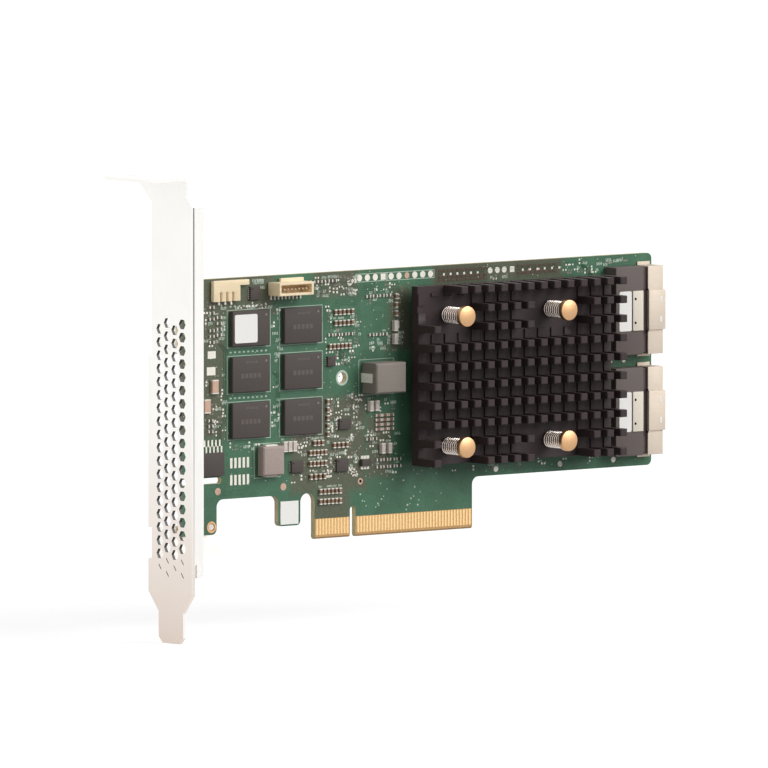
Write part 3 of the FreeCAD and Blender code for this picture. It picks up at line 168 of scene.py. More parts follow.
# Fields in millimetres where close routing gives the mask an olive tone: left, bottom, right, top.
OLIVE_FIELDS = (
    (-20.5, 12.0, 4.5, 36.5), (4.5, 15.0, 12.5, 31.0), (-58.0, 27.5, -42.0, 70.0), (26.5, 63.6, 70.0, 70.0),
    (12.0, 48.0, 19.0, 64.0), (-58.0, 59.0, -26.0, 70.0), (-13.0, 62.5, 1.5, 70.0),
    (-12.5, 4.0, -1.2, 14.0),
)
# A grain that isn't drawn out along any axis.
EVEN = (1, 1, 1)
# Finishes with one grain: material name, colour, roughness, patches to a millimetre and other settings.
GRAINED_FINISHES = {
    "gold_plate": ("gold_finish", "gold", 0.3, 2.0, {"metallic": 1.0, "spread": 0.1, "depth": 0.004}),
    "screw_steel": ("screw_steel_finish", "screw", 0.26, 2.5, {"metallic": 1.0, "depth": 0.006}),
    "screw_brass": ("brass_finish", "brass", 0.42, 3.0, {"metallic": 1.0, "spread": 0.1, "depth": 0.005}),
    "sink_black": ("anodised_finish", "sink", 0.5, 5.0,
                   {"stretch": (1, 0.3, 1), "spread": 0.2, "depth": 0.006, "gloss": 0.2}),
    "chip_black": ("moulded_chip_finish", "chip", 0.6, 9.0, {"spread": 0.25}),
    "pad_grey": ("thermal_pad_finish", "pad_grey", 0.8, 1.5, {}),
    "port_grey": ("housing_finish", "housing", 0.5, 5.0, {"spread": 0.2}),
    "latch_cream": ("latch_plate_finish", "latch", 0.5, 4.0, {"spread": 0.05}),
    "flat_brown": ("flat_part_finish", "ceramic", 0.5, 1.1, {"share": 0.35, "spread": 0.3}),
    # Tin made lighter: painted light on the inductor terminals.
    "terminal": ("terminal_finish", "tin", 0.55, 2.2, {"share": 1.2, "spread": 0.08}),
    "label_white": ("label_paper_finish", "label", 0.7, 6.0, {"spread": 0.04}),
    "ferrite_grey": ("ferrite_finish", "ferrite", 0.6, 4.5, {"spread": 0.22, "depth": 0.03}),
    "pale_ferrite": ("pale_ferrite_finish", "pale_ferrite", 0.6, 4.5, {"spread": 0.18}),
    "pale_ceramic": ("pale_ceramic_finish", "pale_ceramic", 0.5, 1.4, {"spread": 0.12}),
    "ceramic_tan": ("ceramic_finish", "ceramic", 0.5, 1.1, {"spread": 0.3}),
    "resistor_dark": ("resistor_finish", "resistor", 0.4, 2.0, {"spread": 0.3}),
    "tantalum_yellow": ("tantalum_finish", "tantalum", 0.5, 4.0, {"spread": 0.1}),
    "tin": ("tin_finish", "tin", 0.45, 2.2, {"metallic": 0.25, "spread": 0.08, "depth": 0.015}),
    "trace": ("trace_finish", "trace", 0.36, 1.6, {"spread": 0.12}),
    "print": ("print_finish", "print", 0.7, 4.0, {"spread": 0.08}),
    "print_faint": ("faint_print_finish", "chip", 0.6, 6.0, {"share": 1.6}),
    # Near black: painted shade in holes, slots and notches, and the colour of small dark marks.
    "dark_marks_and_shade": ("hole_finish", "chip", 0.8, 4.0, {"share": 0.15, "gloss": 0.1}),
}


def tone(red, green, blue):
    """A colour given in screen values, as linear light."""
    shares = (channel / 255 for channel in (red, green, blue))
    return tuple(share / 12.92 if share <= 0.04045 else ((share + 0.055) / 1.055) ** 2.4 for share in shares)


def colour(name, description, *screen):
    return bpy.props.FloatVectorProperty(name=name, description=description, subtype="COLOR", size=3,
                                         min=0, max=1, default=tone(*screen))


def length(name, description, millimetres):
    return bpy.props.FloatProperty(name=name, description=description, subtype="DISTANCE", unit="LENGTH",
                                   min=0, precision=5, default=millimetres * MM)


def amount(name, description, value):
    return bpy.props.FloatProperty(name=name, description=description, min=0, default=value)


def bearing(name, description, degrees):
    return bpy.props.FloatProperty(name=name, description=description, subtype="ANGLE",
                                   default=math.radians(degrees))


class CardColours(bpy.types.PropertyGroup):
    """Colours of the card's finishes."""

    mask: colour("Solder mask", "Green of the board's faces", 70, 108, 84)
    olive: colour("Crowded mask", "Tone of the mask over close routing", 94, 90, 74)
    edge: colour("Board edge", "Glass fibre at the board's edges", 232, 220, 182)
    laminate: colour("Bare laminate", "Board between and below the contacts", 196, 156, 104)
    trace: colour("Traces", "Copper lines under the mask", 80, 119, 94)
    gold: colour("Gold", "Edge contacts and plated rings", 232, 194, 140)
    steel: colour("Bracket steel", "Plated sheet of the bracket", 254, 252, 248)
    # Painted shade at the bracket's foot, where the steel is painted darker and warmer.
    foot_shade: colour("Bracket foot", "Warmer tone at the bracket's lower end", 224, 209, 198)
    screw: colour("Screw steel", "Bracket screws, nuts and springs", 214, 204, 196)
    brass: colour("Brass", "Spring screws of the heat sink", 196, 156, 116)
    sink: colour("Heat sink", "Black anodised aluminium", 58, 48, 48)
    chip: colour("Chip body", "Moulded chip packages", 76, 69, 66)
    housing: colour("Socket housing", "Dark plastic of the cable sockets", 98, 88, 85)
    shell: colour("Socket shell", "Sheet metal of the cable sockets", 194, 183, 170)
    cream: colour("Cream plastic", "Headers", 250, 224, 188)
    latch: colour("Latch plate", "Pale plates of the cable sockets", 228, 219, 203)
    label: colour("Label", "Blank white stickers", 240, 238, 234)
    ferrite: colour("Ferrite", "Body of the large inductor", 133, 125, 117)
    pale_ferrite: colour("Pale ferrite", "Body of the small inductor", 166, 151, 144)
    ceramic: colour("Ceramic", "Bodies of the capacitors", 138, 112, 94)
    pale_ceramic: colour("Pale ceramic", "Bodies of the large capacitors", 206, 196, 188)
    resistor: colour("Resistor", "Bodies of the resistors", 82, 77, 70)
    tantalum: colour("Tantalum", "Bodies of the tantalum capacitors", 204, 170, 150)
    tin: colour("Tin", "Solder, leads and end caps", 228, 223, 212)
    print: colour("White print", "Printed lines on the board", 184, 198, 184)
    pad_grey: colour("Thermal pad", "Pad between the chip and the heat sink", 150, 152, 158)


class CardSizes(bpy.types.PropertyGroup):
    """Sizes of the fine parts that the frame leaves to the looks."""

    trace_width: length("Trace width", "Width of one copper line", 0.24)
    film: length("Film", "Thickness of print, traces and pads on the board", 0.025)
    print_width: length("Print line", "Width of a printed line", 0.16)
    via: length("Via", "Diameter of a small plated hole", 0.42)
    vias: bpy.props.IntProperty(name="Vias", description="How many places are tried", default=900, min=0)
    spring_wire: length("Spring wire", "Thickness of the spring's wire", 0.42)
    spring_turns: amount("Spring turns", "Turns of one spring", 8.0)
    pin_tip: length("Pin tip", "Bevel at the tip of a heat sink pin", 0.22)
    soft_edge: length("Soft edge", "Rounding of moulded edges", 0.18)
    end_cap: length("End cap", "Length of a small part's metal end", 0.3)


class StageSettings(bpy.types.PropertyGroup):
    """Camera and light."""

    azimuth: bearing("Azimuth", "Turn of the camera round the card", -38.69)
    elevation: bearing("Elevation", "Height of the camera over the card", 4.6)
    distance: length("Distance", "From the camera to the card", 6000.0)
    view_width: length("View width", "Width of the picture at the card", 198.8)
    target: bpy.props.FloatVectorProperty(name="Target", description="Point in the picture's middle",
                                          subtype="XYZ", size=3, default=(0.01441, 0.00509, 0.03848))
    floor: colour("Floor", "Pale floor under the card", 150, 150, 150)
    ambient: amount("Ambient", "Even light from all round", 0.22)
    key: amount("Key", "Soft light from the front right", 2.9)
    fill: amount("Fill", "Weak light from the front left", 0.3)
    glow: amount("Glow", "What lifts the floor to white", 0.85)


def colours():
    return bpy.context.scene.card_colours


def sizes():
    return bpy.context.scene.card_sizes


def box_in_mm(node):
    """Lowest and highest corners of a node in millimetres."""
    return [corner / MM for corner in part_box(node)]


def add(tree, kind, inputs=None, **settings):
    """A new node with its settings, and its inputs given as values or as links."""
    made = tree.nodes.new(kind)
    for name, value in settings.items():
        setattr(made, name, value)
    for name, value in (inputs or {}).items():
        if isinstance(value, bpy.types.NodeSocket):
            tree.links.new(value, made.inputs[name])
        else:
            made.inputs[name].default_value = value
    return made


def reckon(tree, operation, *values):
    """The result of a sum on values or links."""
    return add(tree, "ShaderNodeMath", dict(enumerate(values)), operation=operation).outputs[0]


def blend(tree, share, first, second, mode="MIX"):
    """A share of the second colour over the first one."""
    inputs = {0: share, 6: first, 7: second}
    return add(tree, "ShaderNodeMix", inputs, data_type="RGBA", blend_type=mode).outputs[2]


def axes(tree, kind):
    """A surface's Object place or its Normal, along X, Y and Z."""
    vector = add(tree, "ShaderNodeTexCoord").outputs[kind]
    return add(tree, "ShaderNodeSeparateXYZ", {"Vector": vector}).outputs


def scaled(shade, share):
    """A colour made darker or lighter."""
    return tuple(min(channel * share, 1.0) for channel in shade)


def grain(tree, patches, stretch, detail=4.0):
    """Noise with so many patches to a millimetre, drawn out along the axes."""
    place = add(tree, "ShaderNodeTexCoord").outputs["Object"]
    scale = tuple(patches * share / MM for share in stretch)
    mapped = add(tree, "ShaderNodeMapping", {"Vector": place, "Scale": scale})
    inputs = {"Vector": mapped.outputs["Vector"], "Scale": 1.0, "Detail": detail, "Roughness": 0.6}
    return add(tree, "ShaderNodeTexNoise", inputs).outputs["Fac"]


def ramp(tree, share, dark, light, start=0.3, end=0.7):
    """A colour that goes from dark to light as a share goes from start to end."""
    made = add(tree, "ShaderNodeValToRGB", {"Fac": share})
    for element, position, shade in zip(made.color_ramp.elements, (start, end), (dark, light)):
        element.position = position
        element.color = (*shade, 1)
    return made.outputs["Color"]


def span(tree, share, low, high, start=0.0, end=1.0):
    """A value that goes from low to high as a share goes from start to end."""
    inputs = {"Value": share, "From Min": start, "From Max": end, "To Min": low, "To Max": high}
    return add(tree, "ShaderNodeMapRange", inputs).outputs["Result"]


def relief(tree, height, depth, strength=0.6):
    """Bumps of a depth in metres."""
    inputs = {"Height": height, "Distance": depth, "Strength": strength}
    return add(tree, "ShaderNodeBump", inputs).outputs["Normal"]


def new_finish(name):
    """A new material with its tree and the inputs of its shader."""
    made = bpy.data.materials.new(name)
    made.use_nodes = True
    return made, made.node_tree, made.node_tree.nodes["Principled BSDF"].inputs


def grained(name, tint, roughness, patches, metallic=0.0, share=1.0, stretch=EVEN, spread=0.18,
            depth=0.01, gloss=0.25):
    """A finish in a share of a named colour, whose tone, gloss and relief follow one grain."""
    made, tree, shader = new_finish(name)
    shade = scaled(getattr(colours(), tint), share)
    noise = grain(tree, patches, stretch)
    base = ramp(tree, noise, scaled(shade, 1 - spread), scaled(shade, 1 + spread))
    tree.links.new(base, shader["Base Color"])
    tree.links.new(span(tree, noise, roughness * 0.75, min(roughness * 1.25, 1)), shader["Roughness"])
    tree.links.new(relief(tree, noise, depth * MM), shader["Normal"])
    shader["Metallic"].default_value = metallic
    shader["Specular IOR Level"].default_value = gloss
    return made


def field_share(tree, spot, left, bottom, right, top, rim=1.2):
    """How far a place lies inside a field in millimetres, from 0 to 1 over a soft rim."""
    beyond = []
    for axis, start, end in (("X", left, right), ("Z", bottom, top)):
        off = reckon(tree, "ABSOLUTE", reckon(tree, "SUBTRACT", spot[axis], (start + end) / 2 * MM))
        beyond.append(reckon(tree, "SUBTRACT", off, (end - start) / 2 * MM))
    return span(tree, reckon(tree, "MAXIMUM", *beyond), 0.0, 1.0, rim * MM, -rim * MM)


def board_finish():
    """Green mask with broad copper areas and fine routing, and bare glass fibre at the edges."""
    shade = colours()
    made, tree, shader = new_finish("board_mask_finish")
    broad = grain(tree, 0.09, EVEN, 2.0)
    fine = grain(tree, 1.6, EVEN, 3.0)
    place = add(tree, "ShaderNodeTexCoord").outputs["Object"]
    in_mm = add(tree, "ShaderNodeMapping", {"Vector": place, "Scale": (1 / MM, 1 / MM, 1 / MM)})
    # Square cells, about one in 4 mm, stand for the copper areas under the mask.
    cells = add(tree, "ShaderNodeTexVoronoi", {"Vector": in_mm.outputs["Vector"], "Scale": 0.24},
                distance="CHEBYCHEV", feature="F1").outputs["Color"]
    cell = add(tree, "ShaderNodeSeparateColor", {"Color": cells}).outputs["Red"]
    face = ramp(tree, broad, scaled(shade.mask, 0.8), scaled(shade.mask, 1.15), 0.35, 0.65)
    patch = ramp(tree, cell, scaled(shade.mask, 0.9), scaled(shade.mask, 1.2), 0.2, 0.8)
    speck = ramp(tree, fine, (0.86, 0.86, 0.86), (1.1, 1.1, 1.1))
    mask = blend(tree, 1.0, blend(tree, 0.45, face, patch), speck, "MULTIPLY")
    # Only the component side has the olive and the dark fields.
    spot = axes(tree, "Object")
    facing = axes(tree, "Normal")["Y"]
    front = reckon(tree, "MULTIPLY", reckon(tree, "LESS_THAN", facing, 0.0), span(tree, fine, 0.55, 1.0))
    for fields, share in ((OLIVE_FIELDS, 1.0), (DARK_FIELDS, 0.5)):
        crowded = 0.0
        for field in fields:
            crowded = reckon(tree, "MAXIMUM", crowded, field_share(tree, spot, *field))
        close = ramp(tree, fine, scaled(shade.olive, 0.75 * share), scaled(shade.olive, 1.2 * share))
        mask = blend(tree, reckon(tree, "MULTIPLY", crowded, front), mask, close)
    # The mask ends just above the contacts, and the laminate is bare from there down.
    low, high = box_in_mm("edge_contacts_front")
    side_margin = 0.4
    top_margin = 0.1
    drop = 3.0
    bare = field_share(tree, spot, low.x - side_margin, low.z - drop, high.x + side_margin,
                       high.z + top_margin, rim=0.05)
    laminate = ramp(tree, fine, scaled(shade.laminate, 0.9), scaled(shade.laminate, 1.1))
    weave = grain(tree, 1.0, (0.4, 9.0, 0.4), 2.0)
    edge = ramp(tree, weave, scaled(shade.edge, 0.7), scaled(shade.edge, 1.2))
    is_face = reckon(tree, "GREATER_THAN", reckon(tree, "ABSOLUTE", facing), 0.5)
    whole = blend(tree, is_face, edge, blend(tree, bare, mask, laminate))
    tree.links.new(whole, shader["Base Color"])
    tree.links.new(span(tree, is_face, 0.75, 0.38), shader["Roughness"])
    tree.links.new(relief(tree, fine, 0.006 * MM, 0.4), shader["Normal"])
    shader["Specular IOR Level"].default_value = 0.25
    return made


def brushed(name, shade, roughness, stretch, stain=0.06):
    """Sheet metal with fine lines along one axis and faint broad stains."""
    made, tree, shader = new_finish(name)
    lines = grain(tree, 1.0, stretch, 3.0)
    stains = grain(tree, 0.12, EVEN, 2.0)
    base = ramp(tree, stains, scaled(shade, 1 - stain), scaled(shade, 1 + stain / 3))
    streak = ramp(tree, lines, (0.96, 0.96, 0.96), (1.0, 1.0, 1.0))
    tree.links.new(blend(tree, 1.0, base, streak, "MULTIPLY"), shader["Base Color"])
    tree.links.new(span(tree, lines, roughness * 0.8, roughness * 1.2), shader["Roughness"])
    tree.links.new(relief(tree, lines, 0.004 * MM, 0.35), shader["Normal"])
    shader["Metallic"].default_value = 1.0
    return made


def bracket_finish():
    """Bright sheet steel with painted shade: darker and warmer towards its foot, darker on the flange's
    front face, and a painted shadow along its bend and inside its vents.
    """
    steel = colours().steel
    # Painted shade for the flange's front face, and a painted shadow for the bend and the vents.
    flange_shade = (*scaled(steel, 0.68), 1)
    shadow = (*scaled(steel, 0.05), 1)
    made = brushed("bracket_steel_finish", steel, 0.4, (6.0, 6.0, 0.25), 0.02)
    tree = made.node_tree
    base = tree.nodes["Principled BSDF"].inputs["Base Color"]
    spot = axes(tree, "Object")
    normal = axes(tree, "Normal")
    across = reckon(tree, "ABSOLUTE", normal["X"])
    # The round of the bend looks forwards and a little across, and gets a painted shadow that is deeper
    # higher up.
    forwards = reckon(tree, "GREATER_THAN", reckon(tree, "ABSOLUTE", normal["Y"]), 0.75)
    bend = reckon(tree, "MULTIPLY", forwards, reckon(tree, "GREATER_THAN", across, 0.2))
    # The front flange looks straight forwards, and its face is painted darker than the rest: painted shade
    # where the key light strikes it.
    at_flange = reckon(tree, "LESS_THAN", spot["X"], FLANGE_END * MM)
    flange = reckon(tree, "MULTIPLY", reckon(tree, "LESS_THAN", normal["Y"], -0.9), at_flange)
    # The walls of the vents look along the sheet, and are painted almost black in shadow.
    inner = reckon(tree, "LESS_THAN", across, 0.6)
    for axis, middle, half in VENT_FIELD:
        off = reckon(tree, "ABSOLUTE", reckon(tree, "SUBTRACT", spot[axis], middle * MM))
        inner = reckon(tree, "MULTIPLY", inner, reckon(tree, "LESS_THAN", off, half * MM))
    low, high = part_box("mounting_bracket")
    # Painted shade: the steel grows darker and warmer from the middle down to the foot.
    rise = span(tree, spot["Z"], 0.0, 1.0, low.z, (low.z + high.z) / 2)
    line = span(tree, spot["Z"], 0.1, 0.75, 0.0, high.z * 0.7)
    # Painted shadow on the vent walls and along the bend.
    dark = reckon(tree, "MAXIMUM", inner, reckon(tree, "MULTIPLY", bend, line))
    shaded_foot = blend(tree, rise, (*colours().foot_shade, 1), base.links[0].from_socket)
    tree.links.new(blend(tree, dark, blend(tree, flange, shaded_foot, flange_shade), shadow), base)
    return made


def shell_finish():
    """Dull sheet metal of the cable sockets."""
    return brushed("shell_steel_finish", colours().shell, 0.7, (0.3, 5.0, 5.0))


def cream_finish():
    """Milky plastic that lets some light through."""
    made = grained("cream_plastic_finish", "cream", 0.48, 4.0, spread=0.08)
    shader = made.node_tree.nodes["Principled BSDF"].inputs
    shader["Subsurface Weight"].default_value = 0.3
    shader["Subsurface Radius"].default_value = (1.0, 0.8, 0.6)
    shader["Subsurface Scale"].default_value = 3 * MM
    return made


def header_pin_finish():
    """Tinned tails, and painted shade where the posts stand in the header: a darkened cream like the well
    round them.
    """
    tail_height = 1.0 * MM
    made = grained("header_pin_finish", "tin", 0.45, 2.2, metallic=0.25, spread=0.08)
    tree = made.node_tree
    base = tree.nodes["Principled BSDF"].inputs["Base Color"]
    # Painted shade: inside the header the posts take a darkened cream.
    inside = reckon(tree, "LESS_THAN", axes(tree, "Object")["Y"], -tail_height)
    well_shade = (*scaled(colours().cream, 0.55), 1)
    tree.links.new(blend(tree, inside, base.links[0].from_socket, well_shade), base)
    return made


# Finishes that have a maker of their own.
OWN_FINISHES = {
    "board_mask": board_finish,
    "bracket_steel": bracket_finish,
    "shell_steel": shell_finish,
    "cream_plastic": cream_finish,
    "header_pin": header_pin_finish,
}
# Materials and geometry trees that are made already.
FINISHES = {}
TREES = {}


def finish(look):
    """The material of a look, made once."""
    if look not in FINISHES:
        if look in OWN_FINISHES:
            FINISHES[look] = OWN_FINISHES[look]()
        else:
            *main_settings, more = GRAINED_FINISHES[look]
            FINISHES[look] = grained(*main_settings, **more)
    return FINISHES[look]


def dress_node(name, look):
    """Give a kept node the finish of a look."""
    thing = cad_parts[name]
    if not thing.material_slots:
        thing.data.materials.append(None)
    for place in thing.material_slots:
        place.material = finish(look)


def keep(thing, slot, *nodes):
    """Say what a finished piece rides on and hide the nodes that it stands for. The slot is not used."""
    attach(thing, "root")
    if nodes:
        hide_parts(*nodes)


def placed(name, data):
    """A new object in the scene."""
    thing = bpy.data.objects.new(name, data)
    bpy.context.scene.collection.objects.link(thing)
    return thing


def new_piece(name, mesh, look, slot, *nodes):
    """A piece from a plain mesh, with its finish."""
    mesh.materials.clear()
    mesh.materials.append(finish(look))
    keep(placed(name, mesh), slot, *nodes)


def as_mesh(shape, name, angle=32):
    """A plain mesh from a worked shape, smooth but for its sharp edges."""
    mesh = bpy.data.meshes.new(name)
    shape.to_mesh(mesh)
    shape.free()
    mesh.polygons.foreach_set("use_smooth", [True] * len(mesh.polygons))
    mesh.set_sharp_from_angle(angle=math.radians(angle))
    return mesh


def joined_copy(node):
    """A worked copy of a node's mesh, with its loose triangles joined at their corners."""
    shape = bmesh.new()
    shape.from_mesh(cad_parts[node].data)
    bmesh.ops.remove_doubles(shape, verts=shape.verts, dist=MERGE)
    return shape


def merged_copy(node):
    """A worked copy of a node's mesh, with its triangles merged into flat faces."""
    shape = joined_copy(node)
    bmesh.ops.dissolve_limit(shape, angle_limit=math.radians(0.5), verts=shape.verts, edges=shape.edges)
    return shape


def soften(shape, width, angle=40, segments=2):
    """Round the sharp outer edges of a worked shape."""
    sharp = [edge for edge in shape.edges
             if len(edge.link_faces) == 2 and edge.calc_face_angle_signed(0) > math.radians(angle)]
    bmesh.ops.bevel(shape, geom=sharp, offset=width, segments=segments, profile=0.6, affect="EDGES",
                    clamp_overlap=True)


def soft_copy(node, name, look, width, slot=None):
    """A piece that stands for a node, with its outer edges rounded."""
    shape = merged_copy(node)
    soften(shape, width)
    new_piece(name, as_mesh(shape, name), look, slot or look, node)


def rounded_plates(name, boxes, radius, look, slot, *nodes, steps=6):
    """Thin plates with round corners of so many steps that face the component side."""
    shape = bmesh.new()
    turns = (((1, 1), 0.0), ((-1, 1), 0.5), ((-1, -1), 1.0), ((1, -1), 1.5))
    for low, high in boxes:
        middle = (low + high) / 2
        half = (high - low) / 2
        outline = []
        for (right, upper), start in turns:
            for step in range(steps + 1):
                angle = math.pi * (start + step / steps / 2)
                across = middle.x + right * (half.x - radius) + radius * math.cos(angle)
                up = middle.z + upper * (half.z - radius) + radius * math.sin(angle)
                outline.append((across, up))
        front = [shape.verts.new((across, low.y, up)) for across, up in outline]
        back = [shape.verts.new((across, high.y, up)) for across, up in outline]
        shape.faces.new(front)
        shape.faces.new(back[::-1])
        for index in range(len(outline)):
            after = (index + 1) % len(outline)
            shape.faces.new((front[after], front[index], back[index], back[after]))
    bmesh.ops.recalc_face_normals(shape, faces=shape.faces)
    new_piece(name, as_mesh(shape, name), look, slot, *nodes)


def box_of(points):
    """Lowest and highest corners of points."""
    low = Vector(min(point[axis] for point in points) for axis in range(3))
    high = Vector(max(point[axis] for point in points) for axis in range(3))
    return low, high


def islands(node):
    """Lowest and highest corners of a node's separate solids."""
    shape = joined_copy(node)
    left = set(shape.verts)
    boxes = []
    while left:
        reached = [left.pop()]
        for vertex in reached:
            for edge in vertex.link_edges:
                other = edge.other_vert(vertex)
                if other in left:
                    left.remove(other)
                    reached.append(other)
        boxes.append(box_of([vertex.co for vertex in reached]))
    shape.free()
    return sorted(boxes, key=lambda box: tuple(round(value, 5) for value in box[0]))


def new_tree(name, **inputs):
    """An empty geometry tree with its named inputs."""
    tree = bpy.data.node_groups.new(name, "GeometryNodeTree")
    tree.interface.new_socket("Geometry", in_out="INPUT", socket_type="NodeSocketGeometry")
    for label, kind in inputs.items():
        tree.interface.new_socket(label, in_out="INPUT", socket_type=f"NodeSocket{kind}")
    tree.interface.new_socket("Finish", in_out="INPUT", socket_type="NodeSocketMaterial")
    tree.interface.new_socket("Geometry", in_out="OUTPUT", socket_type="NodeSocketGeometry")
    return tree, tree.nodes.new("NodeGroupInput").outputs


def close_tree(tree, inlet, geometry):
    """Make the instances real, set their finish and hand them on."""
    real = add(tree, "GeometryNodeRealizeInstances", {"Geometry": geometry}).outputs["Geometry"]
    dressed = add(tree, "GeometryNodeSetMaterial", {"Geometry": real, "Material": inlet["Finish"]})
    add(tree, "NodeGroupOutput", {"Geometry": dressed.outputs["Geometry"]})
    return tree


def on_points(tree, points, instance):
    """One instance on each point, scaled by the point's own size."""
    size = add(tree, "GeometryNodeInputNamedAttribute", {"Name": "size"}, data_type="FLOAT_VECTOR")
    inputs = {"Points": points, "Instance": instance, "Scale": size.outputs["Attribute"]}
    return add(tree, "GeometryNodeInstanceOnPoints", inputs).outputs["Instances"]


def block_tree():
    """Blocks on points, each with a bevelled front."""
    tree, inlet = new_tree("bevelled_blocks", Softness="Float")
    rest = reckon(tree, "SUBTRACT", 1.0, inlet["Softness"])
    half = reckon(tree, "MULTIPLY", inlet["Softness"], 0.5)
    sides = add(tree, "ShaderNodeCombineXYZ", {"X": 1.0, "Y": rest, "Z": 1.0}).outputs["Vector"]
    back = add(tree, "ShaderNodeCombineXYZ", {"Y": half}).outputs["Vector"]
    cube = add(tree, "GeometryNodeMeshCube", {"Size": sides}).outputs["Mesh"]
    core = add(tree, "GeometryNodeTransform", {"Geometry": cube, "Translation": back}).outputs["Geometry"]
    normal = add(tree, "GeometryNodeInputNormal").outputs["Normal"]
    depth = add(tree, "ShaderNodeSeparateXYZ", {"Vector": normal}).outputs["Y"]
    front = add(tree, "FunctionNodeCompare", {0: depth, 1: -0.5}, data_type="FLOAT", operation="LESS_THAN")
    drawn = add(tree, "GeometryNodeExtrudeMesh",
                {"Mesh": core, "Selection": front.outputs["Result"], "Offset Scale": inlet["Softness"]})
    tip = add(tree, "GeometryNodeScaleElements",
              {"Geometry": drawn.outputs["Mesh"], "Selection": drawn.outputs["Top"], "Scale": rest})
    return close_tree(tree, inlet, on_points(tree, inlet["Geometry"], tip.outputs["Geometry"]))


def disc_tree():
    """Round plates on points, facing the component side."""
    tree, inlet = new_tree("round_plates", Sides="Int")
    plate = add(tree, "GeometryNodeMeshCylinder",
                {"Vertices": inlet["Sides"], "Radius": 0.5, "Depth": 1.0}).outputs["Mesh"]
    turned = add(tree, "GeometryNodeTransform", {"Geometry": plate, "Rotation": (math.pi / 2, 0, 0)})
    return close_tree(tree, inlet, on_points(tree, inlet["Geometry"], turned.outputs["Geometry"]))


def strip_tree():
    """Flat strips along lines in the board's plane."""
    tree, inlet = new_tree("flat_strips", Width="Float", Thickness="Float")
    line = add(tree, "GeometryNodeMeshToCurve", {"Mesh": inlet["Geometry"]}).outputs["Curve"]
    upright = add(tree, "GeometryNodeSetCurveNormal", {"Curve": line, "Normal": (0, 1, 0)}, mode="FREE")
    profile = add(tree, "GeometryNodeCurvePrimitiveQuadrilateral",
                  {"Width": inlet["Width"], "Height": inlet["Thickness"]}).outputs["Curve"]
    strip = add(tree, "GeometryNodeCurveToMesh",
                {"Curve": upright.outputs["Curve"], "Profile Curve": profile, "Fill Caps": True})
    return close_tree(tree, inlet, strip.outputs["Mesh"])


def coil_tree():
    """Coil springs on points, wound towards the component side."""
    tree, inlet = new_tree("coil_springs", Turns="Float", Radius="Float", Length="Float", Wire="Float")
    spiral = add(tree, "GeometryNodeCurveSpiral",
                 {"Resolution": 28, "Rotations": inlet["Turns"], "Start Radius": inlet["Radius"],
                  "End Radius": inlet["Radius"], "Height": inlet["Length"]}).outputs["Curve"]
    half = reckon(tree, "MULTIPLY", inlet["Wire"], 0.5)
    wire = add(tree, "GeometryNodeCurvePrimitiveCircle", {"Resolution": 8, "Radius": half}).outputs["Curve"]
    body = add(tree, "GeometryNodeCurveToMesh", {"Curve": spiral, "Profile Curve": wire, "Fill Caps": True})
    smooth = add(tree, "GeometryNodeSetShadeSmooth", {"Geometry": body.outputs["Mesh"]}).outputs["Geometry"]
    turned = add(tree, "GeometryNodeTransform", {"Geometry": smooth, "Rotation": (math.pi / 2, 0, 0)})
    return close_tree(tree, inlet, on_points(tree, inlet["Geometry"], turned.outputs["Geometry"]))


def run_tree(maker, name, base, look, slot, *nodes, **settings):
    """A piece that a maker's tree shapes from a base mesh, turned into a plain mesh."""
    if maker not in TREES:
        TREES[maker] = maker()
    tree = TREES[maker]
    thing = placed(name, base)
    modifier = thing.modifiers.new("shape", "NODES")
    modifier.node_group = tree
    keys = {item.name: item.identifier for item in tree.interface.items_tree if item.in_out == "INPUT"}
    for label, value in settings.items():
        modifier[keys[label]] = value
    modifier[keys["Finish"]] = finish(look)
    graph = bpy.context.evaluated_depsgraph_get()
    mesh = bpy.data.meshes.new_from_object(thing.evaluated_get(graph), depsgraph=graph)
    thing.modifiers.remove(modifier)
    thing.data = mesh
    if not mesh.polygons:
        raise RuntimeError(f"{name} came out empty")
    keep(thing, slot, *nodes)


def sized_points(name, boxes):
    """Points at the middles of boxes, each with its box's size."""
    mesh = bpy.data.meshes.new(name)
    mesh.from_pydata([(Vector(low) + Vector(high)) / 2 for low, high in boxes], [], [])
    size = mesh.attributes.new("size", "FLOAT_VECTOR", "POINT")
    size.data.foreach_set("vector", [side for low, high in boxes for side in Vector(high) - Vector(low)])
    return mesh


def blocks(name, boxes, look, slot, *nodes, softness=0.15):
    """A piece of bevelled blocks that fill boxes."""
    run_tree(block_tree, name, sized_points(name, boxes), look, slot, *nodes, Softness=softness)


def discs(name, boxes, look, slot, sides=20):
    """A piece of round plates that fill boxes."""
    run_tree(disc_tree, name, sized_points(name, boxes), look, slot, Sides=sides)


def film_box(left, bottom, width, tallness, height, level=0.0):
    """A thin box on the board's component face, given in millimetres, with its height in metres."""
    low = Vector((left * MM, -level - height, bottom * MM))
    return low, Vector(((left + width) * MM, -level, (bottom + tallness) * MM))


def disc_box(across, up, diameter, height, level=0.0):
    """The box of a round plate, given in millimetres, with its height in metres."""
    half = diameter / 2
    return film_box(across - half, up - half, diameter, diameter, height, level)


def frame_boxes(left, bottom, right, top):
    """Four printed lines round a rectangle, in millimetres."""
    line = sizes().print_width / MM
    film = sizes().film
    return [
        film_box(left, bottom, right - left, line, film),
        film_box(left, top - line, right - left, line, film),
        film_box(left, bottom + line, line, top - bottom - line * 2, film),
        film_box(right - line, bottom + line, line, top - bottom - line * 2, film),
    ]


def outline_boxes(node, left, bottom, right, top):
    """Four printed lines so many millimetres outside a node."""
    low, high = box_in_mm(node)
    return frame_boxes(low.x - left, low.z - bottom, high.x + right, high.z + top)


